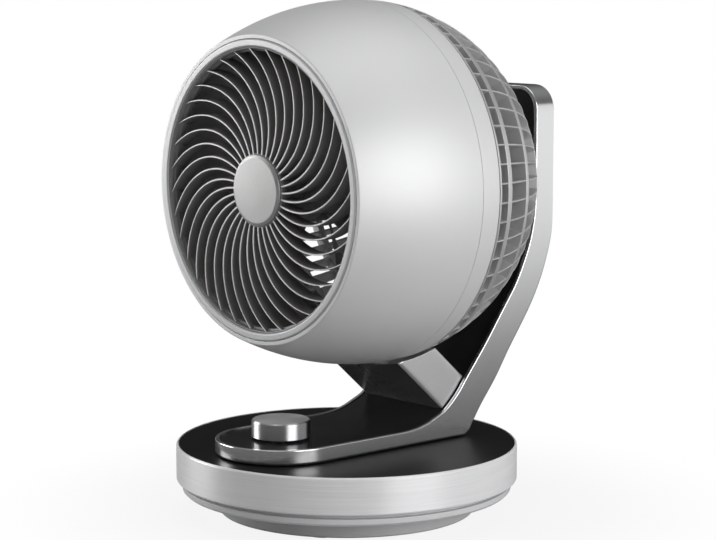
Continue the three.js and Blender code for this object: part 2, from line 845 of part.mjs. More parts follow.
function frontRing() {
  return turnedHead([
    [openingRadius, -frontDepth + 1],
    [openingRadius + 1, -frontDepth],
    [rimRadius - 1, -frontDepth],
    [rimRadius, -frontDepth + 1],
    [rimRadius, -frontDepth + ringDepth],
    [openingRadius, -frontDepth + ringDepth],
  ], 52);
}

const grilleFront = -frontDepth + 3;
const hubRadius = badgeRadius + 0.8;
const rimInner = openingRadius - wallThickness;

function swirlAngle(radius) {
  const along = (radius - hubRadius) / (openingRadius - hubRadius);
  return THREE.MathUtils.degToRad(ribSweep) * Math.pow(Math.max(along, 0), 1.56);
}

function swirlEdge(side, steps) {
  const points = [];
  for (let i = 0; i <= steps; i += 1) {
    const radius = hubRadius + ((rimInner - hubRadius) * i) / steps;
    const half = Math.asin(ribWidth / 2 / radius);
    points.push([radius, swirlAngle(radius) + side * half]);
  }
  return points;
}

function frontGrille() {
  const disc = shapeOf(roundShape(openingRadius - fitGap, 72));
  const pitch = (Math.PI * 2) / ribCount;
  const one = swirlEdge(1, 5);
  const next = swirlEdge(-1, 5).map(([radius, turn]) => [radius, turn + pitch]);
  for (let i = 0; i < ribCount; i += 1) {
    const outline = [...one, ...next.slice().reverse()].map(([radius, turn]) => {
      const place = turn + i * pitch;
      return new THREE.Vector2(radius * Math.cos(place), radius * Math.sin(place));
    });
    disc.holes.push(new THREE.Path(outline));
  }
  const geometry = new THREE.ExtrudeGeometry(disc, { depth: grilleThickness, bevelEnabled: false });
  const turn = new THREE.Matrix4().makeBasis(
    new THREE.Vector3(1, 0, 0),
    new THREE.Vector3(0, 0, 1),
    new THREE.Vector3(0, -1, 0),
  );
  geometry.applyMatrix4(turn);
  geometry.translate(0, grilleFront + grilleThickness, 0);
  return solidOf(geometry);
}

function hubBadge() {
  const back = grilleFront - fitGap;
  return turnedHead([
    [0, back - 2.4],
    [badgeRadius - 3, back - 2],
    [badgeRadius, back - 1],
    [badgeRadius, back],
    [0, back],
  ], 40);
}

function airDuct() {
  const front = -frontDepth + ringDepth + fitGap;
  const end = -frontDepth + ductBehindRim;
  return turnedHead([
    [openingRadius + 1, front],
    [openingRadius + 4.5, front],
    [openingRadius + 3, end],
    [openingRadius + 0.8, end],
  ], 40);
}

const domeStart = THREE.MathUtils.radToDeg(Math.asin((shellEnd + seatGap + fitGap) / domeRadius));
const domeEnd = THREE.MathUtils.radToDeg(Math.acos(rearCapRadius / domeRadius));
const domeHole = domeEnd + 1.5;
// hoops of the rear grille, as angles rearward from the head's equator
const hoops = [
  [domeStart, domeStart + edgeHoopSpan],
  [firstHoop, firstHoop + hoopSpan],
  [secondHoop, secondHoop + hoopSpan],
  [thirdHoop, thirdHoop + hoopSpan],
  [domeEnd - 2, domeHole],
];

// the four corners of one bar at one level: outer left, outer right, inner left, inner right
function barCorners(level, sector) {
  const up = THREE.MathUtils.degToRad(level);
  const centre = ((sector + 0.5) / barCount) * Math.PI * 2;
  const corners = [];
  for (const radius of [domeRadius, domeRadius - barDepth]) {
    const reach = radius * Math.cos(up);
    const half = barWidth / 2 / (domeRadius * Math.cos(up));
    for (const turn of [centre - half, centre + half]) {
      corners.push([reach * Math.cos(turn), radius * Math.sin(up), reach * Math.sin(turn)]);
    }
  }
  return corners;
}

// a dome lattice: solid hoops joined by bars, made as one closed skin
function domeLattice() {
  const levels = hoops.flat();
  const positions = [];
  for (const level of levels) {
    for (let sector = 0; sector < barCount; sector += 1) positions.push(...barCorners(level, sector));
  }
  const at = (k, sector, corner) => (k * barCount + (sector % barCount)) * 4 + corner;
  const index = [];
  const quad = (a, b, c, d) => index.push(a, b, c, a, c, d);
  for (let sector = 0; sector < barCount; sector += 1) {
    for (let k = 0; k + 1 < levels.length; k += 1) {
      const [n, next] = [k + 1, sector + 1];
      quad(at(k, sector, 0), at(k, sector, 1), at(n, sector, 1), at(n, sector, 0));
      quad(at(k, sector, 3), at(k, sector, 2), at(n, sector, 2), at(n, sector, 3));
      if (k % 2 === 0) {
        quad(at(k, sector, 1), at(k, next, 0), at(n, next, 0), at(n, sector, 1));
        quad(at(k, next, 2), at(k, sector, 3), at(n, sector, 3), at(n, next, 2));
        quad(at(k, sector, 3), at(k, next, 2), at(k, next, 0), at(k, sector, 1));
        quad(at(n, sector, 1), at(n, next, 0), at(n, next, 2), at(n, sector, 3));
      } else {
        quad(at(k, sector, 1), at(k, sector, 3), at(n, sector, 3), at(n, sector, 1));
        quad(at(k, sector, 2), at(k, sector, 0), at(n, sector, 0), at(n, sector, 2));
      }
    }
    const end = levels.length - 1;
    quad(at(0, sector, 2), at(0, sector, 3), at(0, sector, 1), at(0, sector, 0));
    quad(at(end, sector, 0), at(end, sector, 1), at(end, sector, 3), at(end, sector, 2));
  }
  const geometry = new THREE.BufferGeometry();
  geometry.setAttribute('position', new THREE.BufferAttribute(new Float32Array(positions.flat()), 3));
  geometry.setIndex(index);
  return solidOf(geometry);
}

function rearGrille() {
  const seat = barrelAt(shellEnd) - wallThickness - seatGap;
  const rim = turnedHead([
    [seat - wallThickness, shellEnd - 8],
    [seat, shellEnd - 8],
    [seat, shellEnd + 2],
    [seat - wallThickness, shellEnd + 2],
  ], barCount);
  return cut(join(domeLattice(), rim), trackOpening());
}

addHeadPiece('front_shell', frontShell(), 'pearl');
addHeadPiece('rear_shell', rearShell(), 'pearl');
addHeadPiece('front_ring', frontRing(), 'silver');
addHeadPiece('front_grille', frontGrille(), 'grille');
addHeadPiece('hub_badge', hubBadge(), 'brushed');
addHeadPiece('air_duct', airDuct(), 'mattBlack');
addHeadPiece('rear_grille', rearGrille(), 'silver');
addHeadPiece('tilt_track', tiltTrack(), 'mattBlack');

// ---------------------------------------------------------------- motor and blade
const rearCapBehind = Math.sqrt(domeRadius * domeRadius - rearCapRadius * rearCapRadius);
const rearCapFront = rearCapBehind - 6;
const rearCapEdge = capEdgeAt(rearCapFront);
const hubFront = -frontDepth + bladeSetback;
const hubBack = hubFront + bladeHubLength;
const motorFront = hubBack + motorGap;
const motorBack = motorFront + motorLength;
const boreRadius = shaftRadius + 1.4;

// radius of the last hoop's hole at one depth, with the seat's gap
function capEdgeAt(behind) {
  return behind / Math.tan(THREE.MathUtils.degToRad(domeHole)) - seatGap;
}

function rearCap() {
  return turnedHead([
    [0, rearCapFront],
    [rearCapEdge, rearCapFront],
    [capEdgeAt(rearCapBehind), rearCapBehind],
    [rearCapEdge - 3, rearCapBehind + 2],
    [0, rearCapBehind + 3.5],
  ], 40);
}

function motorMount() {
  const back = rearCapFront - fitGap;
  const front = motorBack + fitGap;
  const wall = motorRadius - 9;
  return turnedHead([
    [wall - wallThickness, front],
    [wall + 5, front],
    [wall + 5, front + 3],
    [wall, front + 6],
    [wall, back - 3],
    [rearCapEdge - 3, back - 3],
    [rearCapEdge - 3, back],
    [wall - wallThickness, back],
  ], 32);
}

function motorHousing() {
  const solid = turnedHead([
    [0, motorFront],
    [motorRadius - 12, motorFront],
    [motorRadius, motorFront + 6],
    [motorRadius, motorBack - 5.7],
    [motorRadius - 6, motorBack],
    [0, motorBack],
  ], 32);
  return cut(solid, rodHead(boreRadius, motorFront - 2, motorFront + 18, 14));
}

function motorShaft() {
  return rodHead(shaftRadius + 1, hubFront - 4, motorFront + 17, 14);
}

function bladeSection(radius, chord, thickness, pitchDegrees) {
  const pitch = THREE.MathUtils.degToRad(pitchDegrees);
  return [[-0.5, 0], [-0.2, 0.5], [0.2, 0.5], [0.5, 0], [0.2, -0.3], [-0.2, -0.3]].map(([along, lift]) => {
    const u = along * chord;
    const v = lift * thickness;
    return [u * Math.cos(pitch) - v * Math.sin(pitch), u * Math.sin(pitch) + v * Math.cos(pitch), radius];
  });
}

function blade() {
  const sections = [
    bladeSection(bladeRadius * 0.184, bladeRadius * 0.245, 5, 48),
    bladeSection(bladeRadius * 0.408, bladeRadius * 0.408, 4, 40),
    bladeSection(bladeRadius * 0.714, bladeRadius * 0.551, 3.2, 32),
    bladeSection(bladeRadius, bladeRadius * 0.531, 2.4, 26),
  ];
  const positions = sections.flat().map(([tangent, axial, radius]) => {
    const turn = tangent / Math.max(radius, bladeHubRadius - 2);
    return [radius * Math.sin(turn), axial, radius * Math.cos(turn)];
  });
  const count = sections[0].length;
  const index = [];
  for (let s = 0; s < sections.length - 1; s += 1) {
    for (let i = 0; i < count; i += 1) {
      const a = s * count + i;
      const b = s * count + ((i + 1) % count);
      index.push(a, b, a + count, b, b + count, a + count);
    }
  }
  for (let i = 1; i < count - 1; i += 1) {
    const last = (sections.length - 1) * count;
    index.push(0, i + 1, i);
    index.push(last, last + i, last + i + 1);
  }
  const geometry = new THREE.BufferGeometry();
  geometry.setAttribute('position', new THREE.BufferAttribute(new Float32Array(positions.flat()), 3));
  geometry.setIndex(index);
  return solidOf(geometry);
}

function fanBlade() {
  const hub = turnedHead([
    [boreRadius - 0.1, hubFront],
    [bladeHubRadius - 8, hubFront],
    [bladeHubRadius, hubFront + 8],
    [bladeHubRadius, hubBack],
    [bladeHubRadius - 4, hubBack],
    [bladeHubRadius - 4, hubFront + 12],
    [boreRadius - 0.1, hubFront + 12],
  ], 28);
  const middle = blade().translate([0, hubFront + 20, 0]);
  const blades = [];
  for (let i = 0; i < bladeCount; i += 1) {
    blades.push(middle.rotate([0, i * (360 / bladeCount), 0]));
  }
  const core = rodHead(bladeHubRadius - 4.1, -frontDepth, motorBack, 28);
  return join(hub, cut(join(...blades), core));
}

function bladeNut() {
  const back = hubFront - fitGap;
  const body = turnedHead([[0, back - 13.7], [6, back - 12.7], [11, back - 7.7], [12, back], [0, back]], 20);
  return cut(body, rodHead(boreRadius - 0.1, back - 4.7, back + 1, 14));
}

addHeadPiece('rear_cap', rearCap(), 'pearl');
addHeadPiece('motor_mount', motorMount(), 'greyPlastic');
addHeadPiece('motor_housing', motorHousing(), 'steel');
addHeadPiece('motor_shaft', motorShaft(), 'steel');
addHeadPiece('fan_blade', fanBlade(), 'blade');
addHeadPiece('blade_nut', bladeNut(), 'blade');

export default fan;
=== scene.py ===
import math

import bmesh
import bpy
import numpy as np
from mathutils import Matrix, Vector


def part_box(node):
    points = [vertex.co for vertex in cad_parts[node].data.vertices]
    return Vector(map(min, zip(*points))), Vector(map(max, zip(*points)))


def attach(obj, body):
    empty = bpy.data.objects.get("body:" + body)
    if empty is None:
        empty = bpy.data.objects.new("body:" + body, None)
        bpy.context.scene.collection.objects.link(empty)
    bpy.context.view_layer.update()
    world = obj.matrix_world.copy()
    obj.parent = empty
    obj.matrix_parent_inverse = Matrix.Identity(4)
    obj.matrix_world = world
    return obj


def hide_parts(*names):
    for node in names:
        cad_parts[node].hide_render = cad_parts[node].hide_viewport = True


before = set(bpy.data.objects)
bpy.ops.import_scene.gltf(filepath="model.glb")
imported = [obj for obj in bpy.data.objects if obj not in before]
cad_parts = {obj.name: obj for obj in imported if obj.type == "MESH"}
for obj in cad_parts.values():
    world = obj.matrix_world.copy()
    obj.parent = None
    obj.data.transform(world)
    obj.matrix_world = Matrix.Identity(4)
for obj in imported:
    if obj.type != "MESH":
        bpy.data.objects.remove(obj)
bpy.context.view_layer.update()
scene = bpy.context.scene

# ---------------------------------------------------------------- studio
# The fan stands on a plain pale floor in soft daylight. The camera looks down a little on the
# fan's left front quarter with a long lens, as the photograph does.
camera_data = bpy.data.cameras.new("camera")
camera_data.sensor_width = 36
camera_data.lens = 113.74
camera_data.clip_start = 0.1
camera_data.clip_end = 20
camera = bpy.data.objects.new("camera", camera_data)
camera_turn = math.radians(48.2)     # from straight in front, toward the fan's left
camera_dip = math.radians(7.807)     # below level
right = Vector((math.cos(camera_turn), math.sin(camera_turn), 0))
back = Vector((math.sin(camera_turn) * math.cos(camera_dip),
               -math.cos(camera_turn) * math.cos(camera_dip),
               math.sin(camera_dip)))
camera.matrix_world = Matrix((right, back.cross(right), back)).transposed().to_4x4()
camera.location = (1.24623, -1.12508, 0.40932)
scene.collection.objects.link(camera)
scene.camera = camera
scene.view_settings.view_transform = "Standard"


def new_nodes(owner):
    owner.use_nodes = True
    owner.node_tree.nodes.clear()
    return owner.node_tree.nodes, owner.node_tree.links


def white_to_rays(nodes, links):
    """1 for the rays that should meet the plain white background, else 0."""
    path = nodes.new("ShaderNodeLightPath")
    total = nodes.new("ShaderNodeMath")
    total.operation = "MAXIMUM"
    links.new(path.outputs["Is Camera Ray"], total.inputs[0])
    links.new(path.outputs["Is Transmission Ray"], total.inputs[1])
    return path, total.outputs[0]


def fading(nodes, links, source, start, end, low, high, curve="SMOOTHSTEP"):
    """A value that goes from low to high while the source goes from start to end."""
    ramp = nodes.new("ShaderNodeMapRange")
    ramp.interpolation_type = curve
    for socket, value in (("From Min", start), ("From Max", end),
                          ("To Min", low), ("To Max", high)):
        ramp.inputs[socket].default_value = value
    links.new(source, ramp.inputs["Value"])
    return ramp.outputs[0]


def combined(nodes, links, first, second, operation="MULTIPLY"):
    result = nodes.new("ShaderNodeMath")
    result.operation = operation
    links.new(first, result.inputs[0])
    links.new(second, result.inputs[1])
    return result.outputs[0]


def studio_sky():
    """White to the camera; for light and reflections a soft dome with a dim horizon, and a low pale
    panel behind the fan on its right in the picture."""
    horizon, zenith = (0.015, 0.015, 0.016, 1), (0.65, 0.65, 0.65, 1)
    between = ((0.16, 0.03), (0.50, 0.10), (0.80, 0.26), (0.90, 0.55))
    panel_side, panel_level = (0.74, 0.66, 0), 0.85
    world = bpy.data.worlds.new("studio")
    scene.world = world
    nodes, links = new_nodes(world)
    direction = nodes.new("ShaderNodeTexCoord").outputs["Generated"]
    parts = nodes.new("ShaderNodeSeparateXYZ")
    links.new(direction, parts.inputs[0])
    height = parts.outputs["Z"]
    ramp = nodes.new("ShaderNodeValToRGB")
    links.new(height, ramp.inputs[0])
    stops = ramp.color_ramp.elements
    stops[0].position = 0.0
    stops[0].color = horizon
    stops[1].position = 1.0
    stops[1].color = zenith
    for place, level in between:
        stop = stops.new(place)
        stop.color = (level, level, level * 1.01, 1)
    toward = nodes.new("ShaderNodeVectorMath")
    toward.operation = "DOT_PRODUCT"
    toward.inputs[1].default_value = panel_side
    links.new(direction, toward.inputs[0])
    sideways = fading(nodes, links, toward.outputs["Value"], 0.30, 0.75, 0.0, panel_level)
    low_down = fading(nodes, links, height, 0.20, 0.34, 1.0, 0.0)
    both = nodes.new("ShaderNodeMix")
    both.data_type = "RGBA"
    both.blend_type = "LIGHTEN"
    both.inputs[0].default_value = 1.0
    links.new(ramp.outputs[0], both.inputs[6])
    links.new(combined(nodes, links, sideways, low_down), both.inputs[7])
    dome = nodes.new("ShaderNodeBackground")
    links.new(both.outputs[2], dome.inputs["Color"])
    white = nodes.new("ShaderNodeBackground")
    white.inputs["Color"].default_value = (1, 1, 1, 1)
    white.inputs["Strength"].default_value = 1.0
    _, seen = white_to_rays(nodes, links)
    mix = nodes.new("ShaderNodeMixShader")
    links.new(seen, mix.inputs[0])
    links.new(dome.outputs[0], mix.inputs[1])
    links.new(white.outputs[0], mix.inputs[2])
    out = nodes.new("ShaderNodeOutputWorld")
    links.new(mix.outputs[0], out.inputs["Surface"])


def studio_floor():
    """A pale floor that turns plain white away from the fan and keeps a soft share of its shadow.
    Reflections meet it bright farther out and dim near the fan, where the dimming is painted shade
    for the fan's shadow."""
    reach, paper_grey = 6.0, (0.56, 0.56, 0.56, 1)
    mesh = bpy.data.meshes.new("floor")
    mesh.from_pydata([(-reach, -reach, 0), (reach, -reach, 0), (reach, reach, 0),
                      (-reach, reach, 0)], [], [(0, 1, 2, 3)])
    floor = bpy.data.objects.new("floor", mesh)
    scene.collection.objects.link(floor)
    material = bpy.data.materials.new("floor_paper")
    nodes, links = new_nodes(material)
    paper = nodes.new("ShaderNodeBsdfDiffuse")
    paper.inputs["Color"].default_value = paper_grey
    where = nodes.new("ShaderNodeTexCoord")
    distance = nodes.new("ShaderNodeVectorMath")
    distance.operation = "LENGTH"
    links.new(where.outputs["Object"], distance.inputs[0])
    away = distance.outputs["Value"]
    path, seen = white_to_rays(nodes, links)
    # Painted shade: in reflections the floor glows dimmer near the fan, in place of the fan's
    # shadow there.
    reflected_glow_with_painted_shade = fading(nodes, links, away, 0.25, 2.3, 0.10, 0.96)
    glow = nodes.new("ShaderNodeEmission")
    links.new(combined(nodes, links, seen, reflected_glow_with_painted_shade, "MAXIMUM"), glow.inputs["Strength"])
    to_eye = combined(nodes, links, seen, fading(nodes, links, away, 0.12, 0.32, 0.88, 1.0))
    share = combined(nodes, links, to_eye, path.outputs["Is Glossy Ray"], "MAXIMUM")
    mix = nodes.new("ShaderNodeMixShader")
    links.new(share, mix.inputs[0])
    links.new(paper.outputs[0], mix.inputs[1])
    links.new(glow.outputs[0], mix.inputs[2])
    out = nodes.new("ShaderNodeOutputMaterial")
    links.new(mix.outputs[0], out.inputs["Surface"])
    mesh.materials.append(material)


def soft_lamp(name, place, aim, size, power):
    data = bpy.data.lights.new(name, "AREA")
    data.shape = "RECTANGLE"
    data.size = data.size_y = size
    data.energy = power
    lamp = bpy.data.objects.new(name, data)
    lamp.location = place
    lamp.rotation_mode = "QUATERNION"
    lamp.rotation_quaternion = (Vector(aim) - Vector(place)).to_track_quat("-Z", "Y")
    scene.collection.objects.link(lamp)


studio_sky()
studio_floor()
soft_lamp("key_lamp", (2.0, 0.08, 0.65), (0, 0, 0.22), 1.4, 24.5)
soft_lamp("left_lamp", (-1.85, -0.98, 0.6), (0, 0, 0.22), 1.1, 25)
soft_lamp("top_lamp", (0.1, 0.1, 2.0), (0, 0, 0.2), 1.6, 6.5)

# ---------------------------------------------------------------- foot disc and rubber pads
# The foot is a moulded grey disc that stays on the table while the base turns over it. Five
# rubber pads are pressed into pockets on its underside.
MM = 0.001
FOOT = 96.0                                 # the disc's radius
SPINDLE = 18.0                              # radius of the spindle moulded in its middle
PAD = 15.0                                  # a pad's radius
base_low, base_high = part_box("base_band")
AXIS_Y = (base_low.y + base_high.y) / 2     # the base's turning axis, in metres


def mesh_piece(name, points, faces):
    """A new object from points in millimetres, measured from the base's turning axis."""
    mesh = bpy.data.meshes.new(name)
    mesh.from_pydata([(x * MM, y * MM + AXIS_Y, z * MM) for x, y, z in points], [], faces)
    mesh.validate()
    shell = bmesh.new()
    shell.from_mesh(mesh)
    bmesh.ops.recalc_face_normals(shell, faces=shell.faces)
    shell.to_mesh(mesh)
    shell.free()
    piece = bpy.data.objects.new(name, mesh)
    scene.collection.objects.link(piece)
    return piece


def eased(profile):
    """Rounds each corner (a, b, r) of a closed outline by the radius r. Corners (a, b) stay."""
    line = []
    count = len(profile)
    for i, corner in enumerate(profile):
        here = Vector(corner[:2])
        if len(corner) < 3:
            line.append(tuple(here))
            continue
        into = (here - Vector(profile[i - 1][:2])).normalized()
        out = (Vector(profile[(i + 1) % count][:2]) - here).normalized()
        turn = into.angle(out)
        reach = corner[2] * math.tan(turn / 2)
        start, end = here - into * reach, here + out * reach
        steps = max(2, round(turn / math.radians(18)))
        for k in range(steps + 1):
            t = k / steps
            line.append(tuple(start.lerp(here, t).lerp(here.lerp(end, t), t)))
    return line


def turned(name, profile, steps, centre=(0, 0, 0), lying=False):
    """Turns a closed outline of (radius, height) round an upright axis, or round a lying one that
    points rearward. An outline that starts and ends on the axis is closed there."""
    points, rings = [], []
    for radius, height in profile:
        count = 1 if radius < 1e-6 else steps
        rings.append(list(range(len(points), len(points) + count)))
        for k in range(count):
            turn = 2 * math.pi * k / steps
            u, v = radius * math.cos(turn), radius * math.sin(turn)
            place = (u, height, v) if lying else (u, v, height)
            points.append(tuple(a + b for a, b in zip(place, centre)))
    faces = []
    open_ends = len(rings[0]) == 1 and len(rings[-1]) == 1
    pairs = list(zip(rings, rings[1:])) + ([] if open_ends else [(rings[-1], rings[0])])
    for low, high in pairs:
        for k in range(steps):
            n = (k + 1) % steps
            corners = [low[k % len(low)], low[n % len(low)],
                       high[n % len(high)], high[k % len(high)]]
            face = list(dict.fromkeys(corners))
            if len(face) > 2:
                faces.append(face)
    return mesh_piece(name, points, faces)


def fit(piece, body, slot_name, material, *nodes):
    """Shades a finished piece smooth with crisp edges, gives it its material and puts it on its
    body in place of the CAD nodes."""
    mesh = piece.data
    mesh.shade_smooth()
    mesh.set_sharp_from_angle(angle=math.radians(32))
    normals = piece.modifiers.new("normals", "WEIGHTED_NORMAL")
    normals.keep_sharp = True
    mesh.materials.clear()
    mesh.materials.append(material)
    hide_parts(*nodes)
    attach(piece, body)


def finish(name, colour, roughness, metal=0.0, specular=0.5, coat=0.0, anisotropy=0.0,
           mottle=0.06, mottle_scale=60, rough_play=0.08,
           grain=0.0, grain_scale=2500, stretch=(1, 1, 1), streak=0.0):
    """A finish with soft mottling in its colour and gloss, and a grain that can be drawn out in one
    direction as brushing round an upright axis. Plain values sit on the shader itself."""
    material = bpy.data.materials.new(name)
    nodes, links = new_nodes(material)
    skin = nodes.new("ShaderNodeBsdfPrincipled")
    for socket, value in (("Metallic", metal), ("Specular IOR Level", specular),
                          ("Coat Weight", coat), ("Coat Roughness", 0.08),
                          ("Anisotropic", anisotropy), ("Anisotropic Rotation", 0.25)):
        skin.inputs[socket].default_value = value
    where = nodes.new("ShaderNodeTexCoord").outputs["Object"]
    cloud = nodes.new("ShaderNodeTexNoise")
    cloud.inputs["Scale"].default_value = mottle_scale
    cloud.inputs["Detail"].default_value = 5
    links.new(where, cloud.inputs["Vector"])
    drawn_out = nodes.new("ShaderNodeMapping")
    drawn_out.inputs["Scale"].default_value = stretch
    links.new(where, drawn_out.inputs["Vector"])
    fine = nodes.new("ShaderNodeTexNoise")
    fine.inputs["Scale"].default_value = grain_scale
    fine.inputs["Detail"].default_value = 3
    links.new(drawn_out.outputs[0], fine.inputs["Vector"])
    shade = nodes.new("ShaderNodeMix")
    shade.data_type = "RGBA"
    shade.inputs[6].default_value = tuple(c * (1 - mottle) for c in colour) + (1,)
    shade.inputs[7].default_value = tuple(min(1, c * (1 + mottle)) for c in colour) + (1,)
    links.new(cloud.outputs["Fac"], shade.inputs[0])
    streaks = fading(nodes, links, fine.outputs["Fac"], 0.25, 0.75, 1 - streak, 1.0, "LINEAR")
    lines = nodes.new("ShaderNodeMix")
    lines.data_type = "RGBA"
    lines.blend_type = "MULTIPLY"
    lines.inputs[0].default_value = 1.0
    links.new(shade.outputs[2], lines.inputs[6])
    links.new(streaks, lines.inputs[7])
    links.new(lines.outputs[2], skin.inputs["Base Color"])
    gloss = fading(nodes, links, cloud.outputs["Fac"], 0.0, 1.0,
                   max(0.02, roughness - rough_play / 2), roughness + rough_play / 2, "LINEAR")
    links.new(gloss, skin.inputs["Roughness"])
    if grain:
        relief = nodes.new("ShaderNodeBump")
        relief.inputs["Strength"].default_value = grain
        relief.inputs["Distance"].default_value = 0.0002
        links.new(fine.outputs["Fac"], relief.inputs["Height"])
        links.new(relief.outputs[0], skin.inputs["Normal"])
    out = nodes.new("ShaderNodeOutputMaterial")
    links.new(skin.outputs[0], out.inputs["Surface"])
    return material


foot_plastic = finish("foot_plastic", (0.56, 0.56, 0.565), 0.5, grain=0.3, grain_scale=1800)
foot_disc = turned("foot_disc_moulding", eased([
    (0, 3.6), (SPINDLE - 2, 3.6, 0.6), (SPINDLE, 1.5, 0.6), (FOOT - 1.2, 1.5, 0.6),
    (FOOT, 2.7, 0.6), (FOOT, 15.5, 0.6), (FOOT - 3.5, 15.5, 0.4), (FOOT - 3.5, 6, 0.5),
    (SPINDLE, 6, 0.5), (SPINDLE, 20.5, 0.3), (0, 20.5)]), 160)
fit(foot_disc, "foot", "grey_plastic", foot_plastic, "foot_disc")

rubber = finish("black_rubber", (0.03, 0.03, 0.031), 0.8, mottle=0.15, grain=0.5, grain_scale=1200)
for i in range(5):
    pad_low, pad_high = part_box(f"foot_pad_{i + 1}")
    pad_middle = ((pad_low.x + pad_high.x) / 2 / MM,
                  ((pad_low.y + pad_high.y) / 2 - AXIS_Y) / MM, 0)
    pad = turned(f"rubber_pad_{i + 1}", eased([
        (0, 0.5), (4, 0.5, 0.2), (4.6, 0, 0.2), (8, 0, 0.2), (8.6, 0.5, 0.2), (9.4, 0.5, 0.2),
        (10, 0, 0.2), (PAD - 0.8, 0, 0.6), (PAD, 0.9, 0.4), (PAD, 3.2, 0.2), (0, 3.2)]),
        48, pad_middle)
    fit(pad, "foot", "rubber", rubber, f"foot_pad_{i + 1}")

# ---------------------------------------------------------------- swivel drive
# Under the turning base sit a nylon slide ring, a nylon gear screwed to the foot's spindle, the
# oscillation motor and its small pinion. They are plain bought or moulded parts.
nylon = finish("natural_nylon", (0.70, 0.68, 0.62), 0.5, specular=0.4, mottle=0.05, grain=0.15)
zinc = finish("zinc_plated_steel", (0.55, 0.56, 0.57), 0.3, metal=1.0, mottle=0.12,
              mottle_scale=200, grain=0.2, grain_scale=1500)


def dress(node, material):
    """A node whose shape is kept gets its finish."""
    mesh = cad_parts[node].data
    mesh.materials.clear()
    mesh.materials.append(material)


for node in ("slide_ring", "swivel_gear", "swivel_pinion"):
    dress(node, nylon)
for node in ("gear_screw", "swivel_motor"):
    dress(node, zinc)

# ---------------------------------------------------------------- turning base
# The base is a grey moulded pan with a light lip at its foot, a brushed aluminium band pressed
# round it and a gloss black cover that lies flush inside the band's bright rim.
BASE = 127.5                    # the band's radius
BASE_TOP = 52.5
BAND_LOW = 25.5
PAN = 121.2                     # radius of the pan's wall, inside the band
LIP = 123.0                     # radius of its lip, under the band
SLIDE = 19.0                    # radius of the hole that turns round the spindle
COVER = BASE - 2.1
GLAND_Z = 34.5
GLAND_HOLE = 6.3


def carve(piece, *tools):
    """Cuts the tools out of the piece and removes them."""
    for tool in tools:
        step = piece.modifiers.new("carve", "BOOLEAN")
        step.operation = "DIFFERENCE"
        step.solver = "EXACT"
        step.object = tool
    bpy.context.view_layer.update()
    seen = piece.evaluated_get(bpy.context.evaluated_depsgraph_get())
    mesh = bpy.data.meshes.new_from_object(seen)
    piece.modifiers.clear()
    old = piece.data
    piece.data = mesh
    mesh.name = old.name
    bpy.data.meshes.remove(old)
    for tool in tools:
        bpy.data.objects.remove(tool)


def gland_hole():
    bore = [(0, 100), (GLAND_HOLE, 100), (GLAND_HOLE, 137), (0, 137)]
    return turned("gland_hole", bore, 48, (0, 0, GLAND_Z), lying=True)


grey_plastic = finish("grey_moulding", (0.68, 0.685, 0.69), 0.42, grain=0.2, grain_scale=2000)
base_pan = turned("turning_pan", eased([
    (SLIDE, 16.5, 0.4), (LIP - 2, 16.5, 1.0), (LIP, 18.3, 0.9), (LIP, 22, 0.5), (PAN - 2, 22, 0.4),
    (PAN - 2, BAND_LOW, 0.3), (PAN, BAND_LOW, 0.3), (PAN, 49.1, 0.3), (PAN - 3, 49.1, 0.3),
    (PAN - 5, 19, 0.8), (SLIDE, 19, 0.3)]), 192)
carve(base_pan, gland_hole())
fit(base_pan, "stand", "grey_plastic", grey_plastic, "base_pan")

brushed_band = finish("brushed_aluminium_band", (0.93, 0.935, 0.94), 0.38, metal=0.15,
                      anisotropy=0.8, mottle=0.02, rough_play=0.04, grain_scale=1.0,
                      stretch=(14, 14, 1500), streak=0.12)
base_band = turned("base_band_trim", eased([
    (BASE - 6, BAND_LOW, 0.2), (BASE - 0.7, BAND_LOW, 0.7), (BASE, BAND_LOW + 1, 0.5),
    (BASE, BASE_TOP - 1.2, 1.0), (BASE - 1.1, BASE_TOP, 0.5), (BASE - 1.8, BASE_TOP, 0.3),
    (BASE - 1.8, 49.2, 0.2), (BASE - 6, 49.2, 0.2)]), 240)
carve(base_band, gland_hole())
fit(base_band, "stand", "brushed_metal", brushed_band, "base_band")

gloss_black = finish("gloss_black_plastic", (0.010, 0.010, 0.011), 0.36, specular=0.12,
                     mottle=0.08, mottle_scale=25, rough_play=0.03)
base_cover = turned("base_cover_disc", eased([
    (0, 49.5), (COVER, 49.5, 0.3), (COVER, BASE_TOP - 0.3, 0.5), (0, BASE_TOP - 0.3)]), 240)
fit(base_cover, "stand", "gloss_black", gloss_black, "base_cover")
for i in range(3):
    dress(f"pan_screw_{i + 1}", zinc)

gland = turned("cable_gland_boot", eased([
    (3.6, BASE - 14, 0.3), (6, BASE - 14, 0.4), (6, BASE + 0.3, 0.1), (8.5, BASE + 0.3, 0.3),
    (8.5, BASE + 2.3, 0.5), (6.6, BASE + 2.9, 0.4), (6.6, BASE + 4.3, 0.3),
    (5.6, BASE + 4.6, 0.2), (5.6, BASE + 5.4, 0.2), (6.2, BASE + 5.7, 0.3),
    (6.2, BASE + 7, 0.3), (5.3, BASE + 7.3, 0.2), (5.3, BASE + 8, 0.2),
    (5.5, BASE + 9, 0.5), (3.6, BASE + 9, 0.3)]), 64, (0, 0, GLAND_Z), lying=True)
fit(gland, "stand", "rubber", rubber, "cable_gland")

# ---------------------------------------------------------------- board and switch
# Under the cover a small green circuit board stands on four posts, and the rotary speed switch
# sits on it with its steel shaft coming up through the cover to the knob.
board_green = finish("solder_mask", (0.06, 0.24, 0.12), 0.4, coat=0.3, mottle=0.25,
                     mottle_scale=180, grain=0.3, grain_scale=900)
switch_grey = finish("switch_moulding", (0.35, 0.355, 0.36), 0.5, grain=0.2)
dress("control_board", board_green)
dress("rotary_switch", switch_grey)
dress("switch_shaft", zinc)

